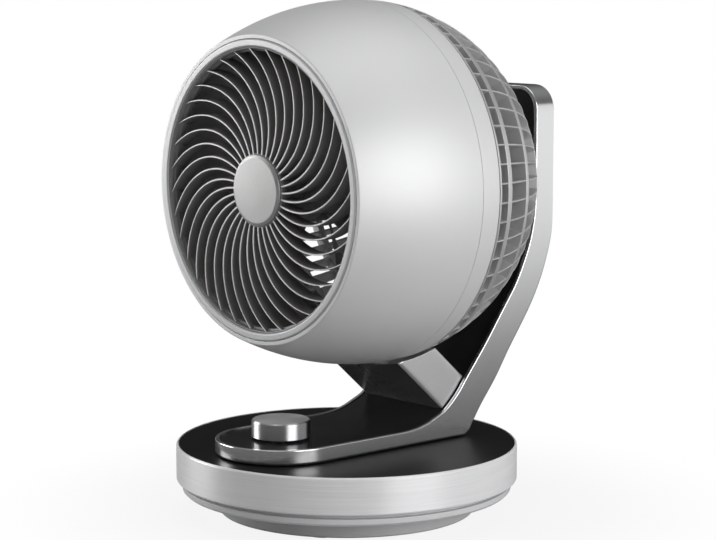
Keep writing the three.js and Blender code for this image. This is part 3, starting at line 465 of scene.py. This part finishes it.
# ---------------------------------------------------------------- ribbon stand
# One silver painted ribbon lies on the base as a round tongue under the knob, sweeps up behind
# the head and ends in a plate with round corners. A gloss black panel is let into its face.
HALF_WIDTH = 48.0
KNOB_Y = -64.0
TONGUE_TOP = BASE_TOP + 11.5
RIBBON_LOW = BASE_TOP + 0.3
ARM_UPRIGHT = BASE_TOP + 200    # the arm stands upright from here
ARM_TOP = BASE_TOP + 261.5
ARM_FRONT = 152.0
ARM_REAR = 172.0
ARM_CORNER = 19.0
front_rise = [(27, 0.8), (38, 3.1), (47, 6.6), (57.2, 11.2), (69.5, 21.9), (78.7, 33.1),
              (97.4, 55.4), (114.9, 78.2), (131.9, 101.1), (143.9, 124.9), (149, 140.9),
              (151.4, 155.1), (ARM_FRONT, 167.1)]
rear_rise = [(86.5, 9.5), (94.4, 20.7), (110.4, 40.3), (124.2, 60.2), (147.4, 91.8),
             (158.6, 111.3), (166, 129.5), (170.8, 146.7), (ARM_REAR, 163)]


def flowing(knots, per_span=24):
    """A smooth line through the knots, straight where they are in line."""
    ends = [2 * Vector(knots[0]) - Vector(knots[1])] + [Vector(k) for k in knots]
    ends.append(2 * ends[-1] - ends[-2])
    line = []
    for i in range(1, len(ends) - 2):
        p0, p1, p2, p3 = ends[i - 1:i + 3]
        span = (p2 - p1).length
        into = (p2 - p0) / ((p2 - p1).length + (p1 - p0).length) * span
        out = (p3 - p1) / ((p3 - p2).length + (p2 - p1).length) * span
        for k in range(per_span):
            t = k / per_span
            line.append(p1 * (2 * t ** 3 - 3 * t ** 2 + 1) + into * (t ** 3 - 2 * t ** 2 + t)
                        + p2 * (3 * t ** 2 - 2 * t ** 3) + out * (t ** 3 - t ** 2))
    line.append(ends[-2])
    return np.array([tuple(p) for p in line])


# The front and rear lines (y, z) start ahead of the tongue's tip and end above the arm. A run is
# the length along the front line, and is y itself on the flat tongue.
run_start = KNOB_Y - HALF_WIDTH - 5
front_line = flowing([(run_start, TONGUE_TOP), (0, TONGUE_TOP), (16, TONGUE_TOP)]
                     + [(y, TONGUE_TOP + z) for y, z in front_rise]
                     + [(ARM_FRONT, ARM_UPRIGHT), (ARM_FRONT, ARM_TOP + 5)])
rear_line = np.vstack([
    [(run_start, RIBBON_LOW), (80.9, RIBBON_LOW)],
    flowing([(y, BASE_TOP + z) for y, z in rear_rise]
            + [(ARM_REAR, ARM_UPRIGHT), (ARM_REAR, ARM_TOP + 5)])])
front_steps = np.linalg.norm(np.diff(front_line, axis=0), axis=1)
front_run = np.concatenate([[0], np.cumsum(front_steps)])
front_run += run_start
TOP_RUN = float(np.interp(ARM_TOP, front_line[-60:, 1], front_run[-60:]))


def on_front(run):
    return np.array([np.interp(run, front_run, front_line[:, column]) for column in (0, 1)])


def crossing(start, way, a, b):
    """How far from start along way the line through a and b is met, and at what share of the
    length from a to b."""
    span, gap = b - a, a - start
    det = way[0] * -span[1] + way[1] * span[0]
    if abs(det) < 1e-9:
        return -1.0, -1.0
    return ((gap[0] * -span[1] + gap[1] * span[0]) / det,
            (way[0] * gap[1] - way[1] * gap[0]) / det)


def straight_behind(run):
    """The point of the ribbon's rear line that faces the front line's point at this run."""
    here = on_front(run)
    along = on_front(run + 1.5) - on_front(run - 1.5)
    away = np.array([along[1], -along[0]]) / np.linalg.norm(along)
    if run > TOP_RUN - 40:
        away = np.array([1.0, 0.0])
    best = None
    for a, b in zip(rear_line[:-1], rear_line[1:]):
        reach, share = crossing(here, away, a, b)
        if reach > 0 and -0.001 <= share <= 1.001 and (best is None or reach < best):
            best = reach
    return here + away * best


def ribbon_edge(inset, stations):
    """(run, half width) pairs from the tongue's tip to the arm's top, inset from the outer edge."""
    half = HALF_WIDTH - inset
    edge = []
    for k in range(25):
        turn = math.pi / 2 * k / 24
        edge.append((KNOB_Y - half * math.cos(turn), half * math.sin(turn)))
    edge += [(run, half) for run in stations]
    corner = max(ARM_CORNER - inset, 1)
    top = TOP_RUN - inset
    for k in range(13):
        turn = math.pi / 2 * k / 12
        edge.append((top - corner + corner * math.sin(turn),
                     half - corner + corner * math.cos(turn)))
    return edge


def joined(rings):
    """The faces between each ring of points and the next."""
    faces = []
    count = len(rings[0])
    for low, high in zip(rings, rings[1:]):
        for k in range(count):
            n = (k + 1) % count
            faces.append((low[k], low[n], high[n], high[k]))
    return faces


def ribbon_piece(name, layers):
    """A slab that follows the ribbon. Each layer is (inset, depth from the front, depth from the
    rear) with one of the depths None; the first and last layers are closed across."""
    stations = np.arange(KNOB_Y + 6, TOP_RUN - ARM_CORNER - 2, 4.0)
    points, rings = [], []
    cache = {}
    for inset, from_front, from_rear in layers:
        ring = []
        edge = ribbon_edge(inset, stations)
        for side in (1, -1):
            order = edge if side > 0 else edge[:0:-1]
            for run, half in order:
                key = round(run, 4)
                if key not in cache:
                    cache[key] = (on_front(run), straight_behind(run))
                near, far = cache[key]
                depth = np.linalg.norm(far - near)
                share = from_front / depth if from_front is not None else 1 - from_rear / depth
                y, z = near + (far - near) * share
                ring.append(len(points))
                points.append((side * half, y, z))
        rings.append(ring)
    faces = joined(rings)
    count = len(rings[0])
    for ring in (rings[0], rings[-1]):
        for k in range(1, count // 2):
            faces.append((ring[k], ring[k + 1], ring[-k - 1], ring[-k]))
        faces.append((ring[0], ring[1], ring[-1]))
    return mesh_piece(name, points, faces)


def quarter(radius, steps=4):
    """(sine side, cosine side) offsets of a rounded edge, from its flat to its wall."""
    turns = [math.pi / 2 * k / steps for k in range(steps + 1)]
    return [(radius * (1 - math.sin(turn)), radius * (1 - math.cos(turn))) for turn in turns]


def shaft_hole():
    bore = [(0, 40), (4.5, 40), (4.5, 70), (0, 70)]
    return turned("shaft_hole", bore, 40, (0, KNOB_Y, 0))


silver_paint = finish("silver_paint", (0.82, 0.825, 0.83), 0.21, metal=0.95, mottle=0.02,
                      mottle_scale=40, rough_play=0.02, grain_scale=900, streak=0.04)
arm_layers = [(3.2, None, 0)] + [(inset, None, depth) for inset, depth in quarter(2.0)]
arm_layers += [(inset, depth, None) for depth, inset in quarter(0.9)]
arm_layers += [(2.7, 0, None), (2.95, 0.1, None), (3.0, 0.35, None), (3.0, 3.6, None),
               (3.6, 3.6, None)]
arm_shell = ribbon_piece("ribbon_stand", arm_layers)
carve(arm_shell, shaft_hole())
fit(arm_shell, "stand", "silver_paint", silver_paint, "arm_shell")

panel_black = finish("panel_gloss_black", (0.018, 0.018, 0.019), 0.26, specular=0.22, mottle=0.3,
                     mottle_scale=25, rough_play=0.03)
panel_layers = [(4.2, 3.4, None), (3.3, 3.4, None), (3.3, 1.2, None), (3.42, 0.92, None),
                (3.7, 0.8, None), (4.6, 0.8, None)]
arm_panel = ribbon_piece("ribbon_panel", panel_layers)
carve(arm_panel, shaft_hole())
fit(arm_panel, "stand", "gloss_black", panel_black, "arm_panel")
for i in range(4):
    dress(f"arm_bolt_{i + 1}", zinc)

# ---------------------------------------------------------------- neck
# A silver painted block carries the head from the ribbon's bend. A thin gloss black skin is let
# into its underside, and its top is hollowed like a dish, a little short of the head's sweep.
HEAD_Y = 8.4
HEAD_Z = 246.1
HEAD_MIDDLE = (0, HEAD_Y, HEAD_Z)
BARREL = 134.4                  # the head's largest radius
NECK_CLEAR = BARREL + 3.2       # radius of the dish in the neck
NECK_HALF = 44.0
NECK_DEPTH = 31
neck_tip = Vector((HEAD_Y + 4.2, BASE_TOP + 62.1))
neck_foot = Vector((66.6, BASE_TOP + 14.8))


def neck_outline(low, high, steps=6):
    """Side outline of the neck between two lines parallel to its underside, from inside the head's
    sweep to the ribbon's panel."""
    down = (neck_foot - neck_tip).normalized()
    up = Vector((-down.y, down.x))
    upper, lower = [], []
    middle = Vector((HEAD_Y, HEAD_Z))
    runs = np.arange(0, 150, 1.0)
    panel = [on_front(run) for run in runs]
    for k in range(steps + 1):
        start = neck_tip + up * (low + (high - low) * k / steps)
        gap = start - middle
        reach = gap.dot(down)
        inside = reach * reach - gap.dot(gap) + (NECK_CLEAR - 9) ** 2
        leave = -reach + math.sqrt(inside) if inside > 0 else 0.0
        upper.append(start + down * max(leave, 0.0))
        best = 60.0
        for a, b in zip(panel[:-1], panel[1:]):
            span = b - a
            normal = Vector((-span[1], span[0])).normalized()
            a, b = Vector(a) - normal * 0.5, Vector(b) - normal * 0.5
            reach, share = crossing(start, down, a, b)
            if reach > 0 and 0 <= share <= 1:
                best = reach
        lower.append(start + down * best)
    return [tuple(p) for p in upper] + [tuple(p) for p in reversed(lower)]


def side_slab(name, outline, half_width, round_edge):
    """A block across the fan with this side outline (y, z) and rounded edges along both sides."""
    middle = Vector(np.mean(outline, axis=0))
    count = len(outline)
    rings, points = [], []

    def ring_at(x, inset):
        ring = []
        for i, here in enumerate(outline):
            here = Vector(here)
            into = (here - Vector(outline[i - 1])).normalized()
            out = (Vector(outline[(i + 1) % count]) - here).normalized()
            along = (into + out).normalized()
            normal = Vector((-along.y, along.x))
            if normal.dot(middle - here) < 0:
                normal = -normal
            stretch = 1 / max(0.5, along.dot(into))
            place = here + normal * inset * stretch
            ring.append(len(points))
            points.append((x, place.x, place.y))
        rings.append(ring)

    edge = quarter(round_edge) if round_edge else [(0, 0)]
    for inset, depth in edge:
        ring_at(-half_width + depth, inset)
    for inset, depth in reversed(edge):
        ring_at(half_width - depth, inset)
    faces = joined(rings)
    for ring in (rings[0], rings[-1]):
        for k in range(count // 2 - 1):
            faces.append((ring[k], ring[k + 1], ring[count - 2 - k], ring[count - 1 - k]))
    return mesh_piece(name, points, faces)


def arc_block(name, half_width, inner, outer, start, end, steps=48):
    """A block between two radii and two angles rearward from straight down, across the fan."""
    outline = []
    for k in range(steps + 1):
        turn = math.radians(start + (end - start) * k / steps)
        outline.append((HEAD_Y + outer * math.sin(turn), HEAD_Z - outer * math.cos(turn)))
    for k in range(steps, -1, -1):
        turn = math.radians(start + (end - start) * k / steps)
        outline.append((HEAD_Y + inner * math.sin(turn), HEAD_Z - inner * math.cos(turn)))
    return side_slab(name, outline, half_width, 0.0)


def head_sweep():
    """The ball that the head needs to nod in."""
    turns = [math.pi * k / 64 for k in range(65)]
    arc = [(NECK_CLEAR * math.sin(turn), -NECK_CLEAR * math.cos(turn)) for turn in turns]
    arc[0], arc[-1] = (0, -NECK_CLEAR), (0, NECK_CLEAR)
    return turned("head_sweep", arc, 128, HEAD_MIDDLE, lying=True)


neck_paint = finish("neck_paint", (0.68, 0.685, 0.69), 0.36, metal=0.6, mottle=0.03,
                    mottle_scale=40, grain_scale=900, streak=0.05)
neck_shell = side_slab("neck_block", neck_outline(0, NECK_DEPTH), NECK_HALF, 2.5)
skin_hollow = side_slab("skin_hollow", neck_outline(-1, 2.8, 2), NECK_HALF - 1.7, 0.0)
stem_hollow = arc_block("stem_hollow", 12.3, 120, 139.9, 8.8, 17.2)
carve(neck_shell, head_sweep(), skin_hollow, stem_hollow)
fit(neck_shell, "stand", "silver_paint", neck_paint, "neck_shell")

# Painted reflection: the skin's gloss black is lifted to a dark grey on the shaded underside,
# several times lighter than the panel's black.
neck_black_painted_reflection = finish("neck_black_painted_reflection", (0.08, 0.08, 0.081), 0.25, mottle=0.08, mottle_scale=25)
neck_skin = side_slab("neck_cover", neck_outline(0, 2.5, 2), NECK_HALF - 2, 0.4)
carve(neck_skin, head_sweep())
fit(neck_skin, "stand", "gloss_black", neck_black_painted_reflection, "neck_skin")

# ---------------------------------------------------------------- tilt saddle
# A cast shoe on the neck reaches through the underside of the head and slides in a black arc
# track, so the head nods about its own middle.
TRACK_HALF = 28
TRACK_START = -8                # degrees rearward from straight down
TRACK_END = 64
cast_metal = finish("cast_metal", (0.45, 0.455, 0.46), 0.42, metal=0.9, mottle=0.1, grain=0.3,
                    grain_scale=1500)
dress("tilt_shoe", cast_metal)

matt_black = finish("matt_black_plastic", (0.045, 0.045, 0.047), 0.55, grain=0.35,
                    grain_scale=1800)
tilt_track = arc_block("tilt_arc_track", TRACK_HALF, 123, 131.2, TRACK_START, TRACK_END)
carve(tilt_track, arc_block("tilt_slot", 13, 118, 136, TRACK_START + 6, TRACK_END - 6))
fit(tilt_track, "head", "matt_black", matt_black, "tilt_track")

# ---------------------------------------------------------------- speed knob
# A solid aluminium knob stands on the tongue: a brushed side, a fine spun top and a small
# chamfer between them.
KNOB = 21.5                     # the knob's radius
KNOB_TOP = TONGUE_TOP + 13.5


def second_finish(piece, material, wanted):
    """Gives a piece's faces another finish where wanted is true of the face's middle."""
    piece.data.materials.append(material)
    for face in piece.data.polygons:
        if wanted(face.center):
            face.material_index = 1


knob_metal = finish("knob_aluminium", (0.72, 0.725, 0.73), 0.34, metal=1.0, anisotropy=0.9,
                    mottle=0.02, rough_play=0.03, grain_scale=1.0, stretch=(14, 14, 2600),
                    streak=0.08)
knob_face = finish("knob_spun_face", (0.62, 0.625, 0.63), 0.42, metal=0.35, anisotropy=0.8,
                   mottle=0.03, mottle_scale=300, rough_play=0.03)
knob = turned("speed_knob", eased([
    (3.3, KNOB_TOP - 11.5, 0.2), (7, KNOB_TOP - 11.5, 0.3), (7, KNOB_TOP - 3, 0.3),
    (KNOB - 2, KNOB_TOP - 3, 0.3), (KNOB - 2, KNOB_TOP - 12.5, 0.2), (KNOB, KNOB_TOP - 12.5, 0.3),
    (KNOB, KNOB_TOP - 1.1, 0.5), (KNOB - 1, KNOB_TOP, 0.5), (0, KNOB_TOP), (0, KNOB_TOP - 4),
    (3.3, KNOB_TOP - 4, 0.2)]), 128, (0, KNOB_Y, 0))
fit(knob, "knob", "brushed_metal", knob_metal, "knob_cap")
second_finish(knob, knob_face, lambda middle: middle.z > (KNOB_TOP - 0.05) * MM)

# ---------------------------------------------------------------- head shells
# Two satin pearl mouldings make the barrel: a long front shell and a short rear one that meet in
# a fine parting line. Both are cut away below for the tilt track.
BARREL_ARC = 195.0              # radius of the barrel's curve from front to back
FRONT = -96.2                   # distances on the head are rearward from its middle
SHELL_END = 17.5


def barrel_at(behind):
    return BARREL - behind * behind / (2 * BARREL_ARC)


def on_head(name, profile, steps):
    """Turns an outline of (radius, distance rearward) round the head's lying axis."""
    return turned(name, eased(profile), steps, HEAD_MIDDLE, lying=True)


def barrel_shell(name, start, end, steps, front_lip, rear_lip):
    outer = [(barrel_at(start + (end - start) * k / steps), start + (end - start) * k / steps)
             for k in range(steps + 1)]
    inner = [(radius - 3, behind) for radius, behind in reversed(outer)]
    outer[0] = (*outer[0], front_lip)
    outer[-1] = (*outer[-1], rear_lip)
    inner[0] = (*inner[0], 0.3)
    inner[-1] = (*inner[-1], 0.3)
    return on_head(name, outer + inner, 256)


def track_opening():
    return arc_block("track_opening", TRACK_HALF + 0.3, 109, 140, TRACK_START - 0.3,
                     TRACK_END + 0.3)


pearl = finish("pearl_paint", (0.76, 0.765, 0.765), 0.50, metal=0.25, mottle=0.015,
               mottle_scale=20, grain=0.05, grain_scale=3500, streak=0.04)
front_shell = barrel_shell("barrel_front", FRONT + 1, 0.35, 26, 1.0, 0.35)
carve(front_shell, track_opening())
fit(front_shell, "head", "pearl_paint", pearl, "front_shell")
rear_shell = barrel_shell("barrel_rear", 0.65, SHELL_END, 6, 0.35, 0.8)
carve(rear_shell, track_opening())
fit(rear_shell, "head", "pearl_paint", pearl, "rear_shell")

# ---------------------------------------------------------------- front ring and duct
# A silver ring closes the front of the barrel round the grille opening, and a matt black duct leads
# the air from the blade to the grille behind it. The duct's light grey colour is painted light that
# lifts the shade inside the head.
OPENING = 102.4
ring_edge = barrel_at(FRONT + 1) - 3.1
ring_silver = finish("ring_silver", (0.61, 0.615, 0.62), 0.45, metal=0.3, mottle=0.015,
                     grain=0.04, grain_scale=3500)
front_ring = on_head("front_ring_trim", [
    (OPENING, FRONT + 1, 0.5), (OPENING + 1, FRONT, 0.8), (ring_edge - 0.9, FRONT, 0.8),
    (ring_edge, FRONT + 0.9, 0.4), (ring_edge, FRONT + 8, 0.3), (OPENING, FRONT + 8, 0.3)], 256)
fit(front_ring, "head", "silver_paint", ring_silver, "front_ring")

# Painted light: a light grey on the duct in place of its matt black, lifting the shade inside the
# head.
duct_painted_light = finish("duct_painted_light", (0.50, 0.495, 0.49), 0.6, specular=0.3, grain=0.2,
                   grain_scale=1800)
air_duct = on_head("air_duct_ring", [
    (103.4, FRONT + 8.3, 0.2), (106.9, FRONT + 8.3, 0.2), (105.4, -22, 0.3), (103.2, -22, 0.3)],
    160)
fit(air_duct, "head", "matt_black", duct_painted_light, "air_duct")

# ---------------------------------------------------------------- front grille
# One dark grey moulding: thirty-six thin ribs sweep in a swirl from a hub ring to an outer ring.
# Their front edges carry a light grey that is a painted highlight, and a blank brushed badge closes
# the hub.
BADGE = 26.0                    # the badge's radius
HUB = BADGE + 0.8
RIM = OPENING - 3
GRILLE_FRONT = FRONT + 3
RIBS = 36
RIB_DEPTH = 12.5


def swirl_turn(radius):
    along = max((radius - HUB) / (OPENING - HUB), 0)
    return math.radians(35.6) * along ** 1.56


def faces_along(first, size, steps):
    """Faces that close a bar of steps + 1 sections, each of size points, from point first on."""
    faces = []
    for k in range(steps):
        for j in range(size):
            a, b = first + k * size + j, first + k * size + (j + 1) % size
            faces.append((a, b, b + size, a + size))
    faces.append(tuple(range(first, first + size)))
    faces.append(tuple(range(first + steps * size, first + (steps + 1) * size)))
    return faces


def swirl_ribs():
    """Ribs with a rounded front edge that run from the hub ring into the rim."""
    section = [(-0.8, RIB_DEPTH), (-0.8, 1.1), (-0.68, 0.25), (-0.4, 0), (0.4, 0), (0.68, 0.25),
               (0.8, 1.1), (0.8, RIB_DEPTH)]
    steps = 22
    points, faces = [], []
    for i in range(RIBS):
        phase = 2 * math.pi * i / RIBS
        faces += faces_along(len(points), len(section), steps)
        for k in range(steps + 1):
            radius = HUB - 0.8 + (RIM + 3.2 - HUB) * k / steps
            for side, depth in section:
                turn = phase + swirl_turn(radius) + side / radius
                points.append((radius * math.cos(turn), HEAD_Y + GRILLE_FRONT + depth,
                               HEAD_Z + radius * math.sin(turn)))
    return mesh_piece("swirl_ribs", points, faces)


grille_grey = finish("grille_grey", (0.24, 0.236, 0.234), 0.45, mottle=0.04, grain=0.05)
# Painted highlight: a light grey on the ribs' front faces, in place of the sheen that light puts on
# their edges.
rib_edge_painted_highlight = finish("rib_edge_painted_highlight", (0.74, 0.74, 0.74), 0.45, metal=0.3, mottle=0.05)
grille = swirl_ribs()
outer_ring = on_head("grille_rim", [
    (RIM, GRILLE_FRONT + 7, 0.2), (RIM, GRILLE_FRONT + 3, 0.4),
    (OPENING - 1.5, GRILLE_FRONT + 2.2, 0.4), (OPENING - 1.2, GRILLE_FRONT - 1.4, 0.3),
    (OPENING - 0.2, GRILLE_FRONT - 1.6, 0.3), (OPENING - 0.2, GRILLE_FRONT + 7, 0.2)], 240)
hub_ring = on_head("grille_hub", [
    (0, GRILLE_FRONT), (HUB - 0.5, GRILLE_FRONT, 0.3), (HUB, GRILLE_FRONT + 0.5, 0.3),
    (HUB, GRILLE_FRONT + 7, 0.2), (0, GRILLE_FRONT + 7)], 96)
for extra in (outer_ring, hub_ring):
    fit(extra, "head", "grille_grey", grille_grey)
    bpy.context.view_layer.update()
fit(grille, "head", "grille_grey", grille_grey, "front_grille")
# The ribs' front faces take the painted highlight.
rib_edge = AXIS_Y + (HEAD_Y + GRILLE_FRONT + 0.3) * MM
second_finish(grille, rib_edge_painted_highlight, lambda middle: middle.y < rib_edge)

badge_metal = finish("badge_metal", (0.46, 0.46, 0.455), 0.45, metal=0.6, mottle=0.05,
                     mottle_scale=900, grain=0.3, grain_scale=2200, streak=0.18)
badge = on_head("hub_badge_disc", [
    (0, GRILLE_FRONT - 2.7), (12, GRILLE_FRONT - 2.6), (23.4, GRILLE_FRONT - 2.2, 1.5),
    (25.6, GRILLE_FRONT - 1.4, 0.8), (BADGE, GRILLE_FRONT - 0.3, 0.2), (0, GRILLE_FRONT - 0.3)],
    128)
fit(badge, "head", "brushed_metal", badge_metal, "hub_badge")

# ---------------------------------------------------------------- rear grille
# The rear guard is one silver moulding: sixty thin bars bent over a dome, tied by hoops, with a
# seat ring that clips inside the rear shell. The cap closes it over the motor.
DOME = 134.8                    # the dome's radius
CAP_HOLE = 42                   # radius of the hole that the cap closes
BARS = 60
BAR_DEPTH = 15.0
HOOP_DEPTH = BAR_DEPTH + 0.05
DOME_START = math.degrees(math.asin((SHELL_END + 0.85) / DOME))
DOME_END = math.degrees(math.acos(CAP_HOLE / DOME))


def dome_bars():
    """Bars with a rounded outer edge, bent over the dome from the rear shell to the cap."""
    section = [(-0.7, BAR_DEPTH), (-0.8, 0.7), (-0.6, 0.25), (-0.2, 0), (0.2, 0), (0.6, 0.25),
               (0.8, 0.7), (0.7, BAR_DEPTH)]
    steps = 30
    points, faces = [], []
    for i in range(BARS):
        turn = 2 * math.pi * (i + 0.5) / BARS
        faces += faces_along(len(points), len(section), steps)
        for k in range(steps + 1):
            level = math.radians(DOME_START + 0.4 + (DOME_END + 0.6 - DOME_START) * k / steps)
            for side, depth in section:
                radius = DOME - depth
                reach = radius * math.cos(level)
                points.append((reach * math.cos(turn) - side * math.sin(turn),
                               HEAD_Y + radius * math.sin(level),
                               HEAD_Z + reach * math.sin(turn) + side * math.cos(turn)))
    return mesh_piece("rear_guard_bars", points, faces)


def dome_hoop(name, start, end, proud):
    """A hoop of the guard between two angles rearward from the head's equator."""
    outline = []
    for radius, level, ease in ((DOME + proud, start, 0.5), (DOME + proud, end, 0.5),
                                (DOME - HOOP_DEPTH, end, 0.3), (DOME - HOOP_DEPTH, start, 0.3)):
        turn = math.radians(level)
        outline.append((radius * math.cos(turn), radius * math.sin(turn), ease))
    return on_head(name, outline, 240)


guard_silver = finish("guard_silver", (0.60, 0.603, 0.605), 0.40, metal=0.55, mottle=0.03,
                      grain=0.05, grain_scale=3500)
guard = dome_bars()
hoops = [dome_hoop("rear_guard_rim", DOME_START, DOME_START + 0.8, 0.0),
         dome_hoop("rear_guard_hoop_1", 12, 14.2, 0.05),
         dome_hoop("rear_guard_hoop_2", 24.3, 26.5, 0.05),
         dome_hoop("rear_guard_hoop_3", 46, 48.2, 0.05),
         dome_hoop("rear_guard_hub", DOME_END - 2, DOME_END + 1.5, 0.05)]
seat = barrel_at(SHELL_END) - 3.55
hoops.append(on_head("rear_guard_seat", [
    (seat - 3, SHELL_END - 8, 0.3), (seat, SHELL_END - 8, 0.3), (seat, SHELL_END + 2, 0.3),
    (seat - 3, SHELL_END + 2, 0.3)], 240))
for hoop in hoops:
    carve(hoop, track_opening())
    fit(hoop, "head", "silver_paint", guard_silver)
carve(guard, track_opening())
fit(guard, "head", "silver_paint", guard_silver, "rear_grille")

cap_behind = math.sqrt(DOME ** 2 - CAP_HOLE ** 2)
hole_slope = math.tan(math.radians(DOME_END + 1.5))
cap_edge = (cap_behind - 6) / hole_slope - 0.55
rear_cap = on_head("rear_cap_disc", [
    (0, cap_behind - 6), (cap_edge, cap_behind - 6, 0.3),
    (cap_behind / hole_slope - 0.55, cap_behind, 1.0), (cap_edge - 3, cap_behind + 2, 4),
    (0, cap_behind + 3.5)], 128)
fit(rear_cap, "head", "pearl_paint", pearl, "rear_cap")

# ---------------------------------------------------------------- motor and blade
# The motor hangs on the rear cap by a moulded mount. Its cast housing has cooling ribs, and a
# steel shaft carries the seven-bladed grey propeller with a nut in front.
MOTOR = 38                      # the housing's radius
SHAFT_BORE = 4.3                # radius of the bore in hub and nut
BLADES = 7
BLADE_ROOT = 22.5
BLADE_TIP = 97
BLADE_PLANE = -38               # the blades' middle plane, ahead of the head's middle


def motor_outline():
    line = [(4.4, 8), (4.4, -10, 0.2), (26, -10, 1.5), (MOTOR, -4, 2)]
    for i in range(8):
        start = 1 + i * 4.6
        line += [(MOTOR, start, 0.3), (MOTOR - 1.6, start + 0.4, 0.3),
                 (MOTOR - 1.6, start + 1.6, 0.3), (MOTOR, start + 2.0, 0.3)]
    return line + [(MOTOR, 40, 1.5), (32, 45.7, 1.5), (0, 45.7), (0, 8)]


motor_grey = finish("motor_cast", (0.42, 0.425, 0.43), 0.4, metal=0.8, mottle=0.1, grain=0.3,
                    grain_scale=1500)
motor = on_head("motor_can", motor_outline(), 96)
fit(motor, "head", "motor_metal", motor_grey, "motor_housing")
dress("motor_mount", switch_grey)
dress("motor_shaft", zinc)


def blade_station(radius):
    """Chord, thickness and pitch in degrees of the blade at a radius."""
    knots = (18, 39.6, 69.3, BLADE_TIP)
    return (np.interp(radius, knots, (24, 39.6, 53.4, 51.5)),
            np.interp(radius, knots, (5, 4, 3.2, 2.4)),
            math.radians(np.interp(radius, knots, (48, 40, 32, 26))))


def propeller_blades():
    """Twisted, cambered blades whose chord narrows in a round at the tip."""
    points, faces = [], []
    spans, around = 20, 24
    for i in range(BLADES):
        swing = 2 * math.pi * i / BLADES
        faces += faces_along(len(points), around, spans)
        for k in range(spans + 1):
            radius = BLADE_ROOT + (BLADE_TIP - BLADE_ROOT) * k / spans
            chord, thick, pitch = blade_station(radius)
            past = max(0.0, (radius - 83) / 14.2)
            chord *= math.sqrt(1 - past * past) * 0.85 + 0.15
            for j in range(around):
                turn = 2 * math.pi * j / around
                u = 0.5 * math.cos(turn) * chord
                v = (0.13 * math.sin(turn) + 0.35 * (1 - math.cos(turn) ** 2)) * thick * 1.1
                tangent = u * math.cos(pitch) - v * math.sin(pitch)
                axial = u * math.sin(pitch) + v * math.cos(pitch)
                place = tangent / max(radius, 24) + swing
                points.append((radius * math.sin(place), HEAD_Y + BLADE_PLANE + axial,
                               HEAD_Z + radius * math.cos(place)))
    return mesh_piece("propeller_blades", points, faces)


# The blades, hub and nut are grey, but this grey is lighter than their own: partly their colour and
# partly painted light for the shaded inside of the head.
blade_grey = finish("blade_grey", (0.38, 0.376, 0.374), 0.50, specular=0.3, mottle=0.05,
                    grain=0.06)
fit(propeller_blades(), "rotor", "blade_grey", blade_grey, "fan_blade")
blade_hub = on_head("propeller_hub", [
    (SHAFT_BORE, -58, 0.3), (18, -58, 3), (26, -50, 3), (26, -20, 0.5), (23, -20, 0.5),
    (23, -46, 0.6), (SHAFT_BORE, -46, 0.3)], 96)
fit(blade_hub, "rotor", "blade_grey", blade_grey)
nut = on_head("blade_nut_cap", [
    (0, -72), (6, -71, 1.5), (11, -66, 1.5), (12, -58.3, 0.4), (SHAFT_BORE, -58.3, 0.2),
    (SHAFT_BORE, -63, 0.2), (0, -63)], 64)
fit(nut, "rotor", "blade_grey", blade_grey, "blade_nut")
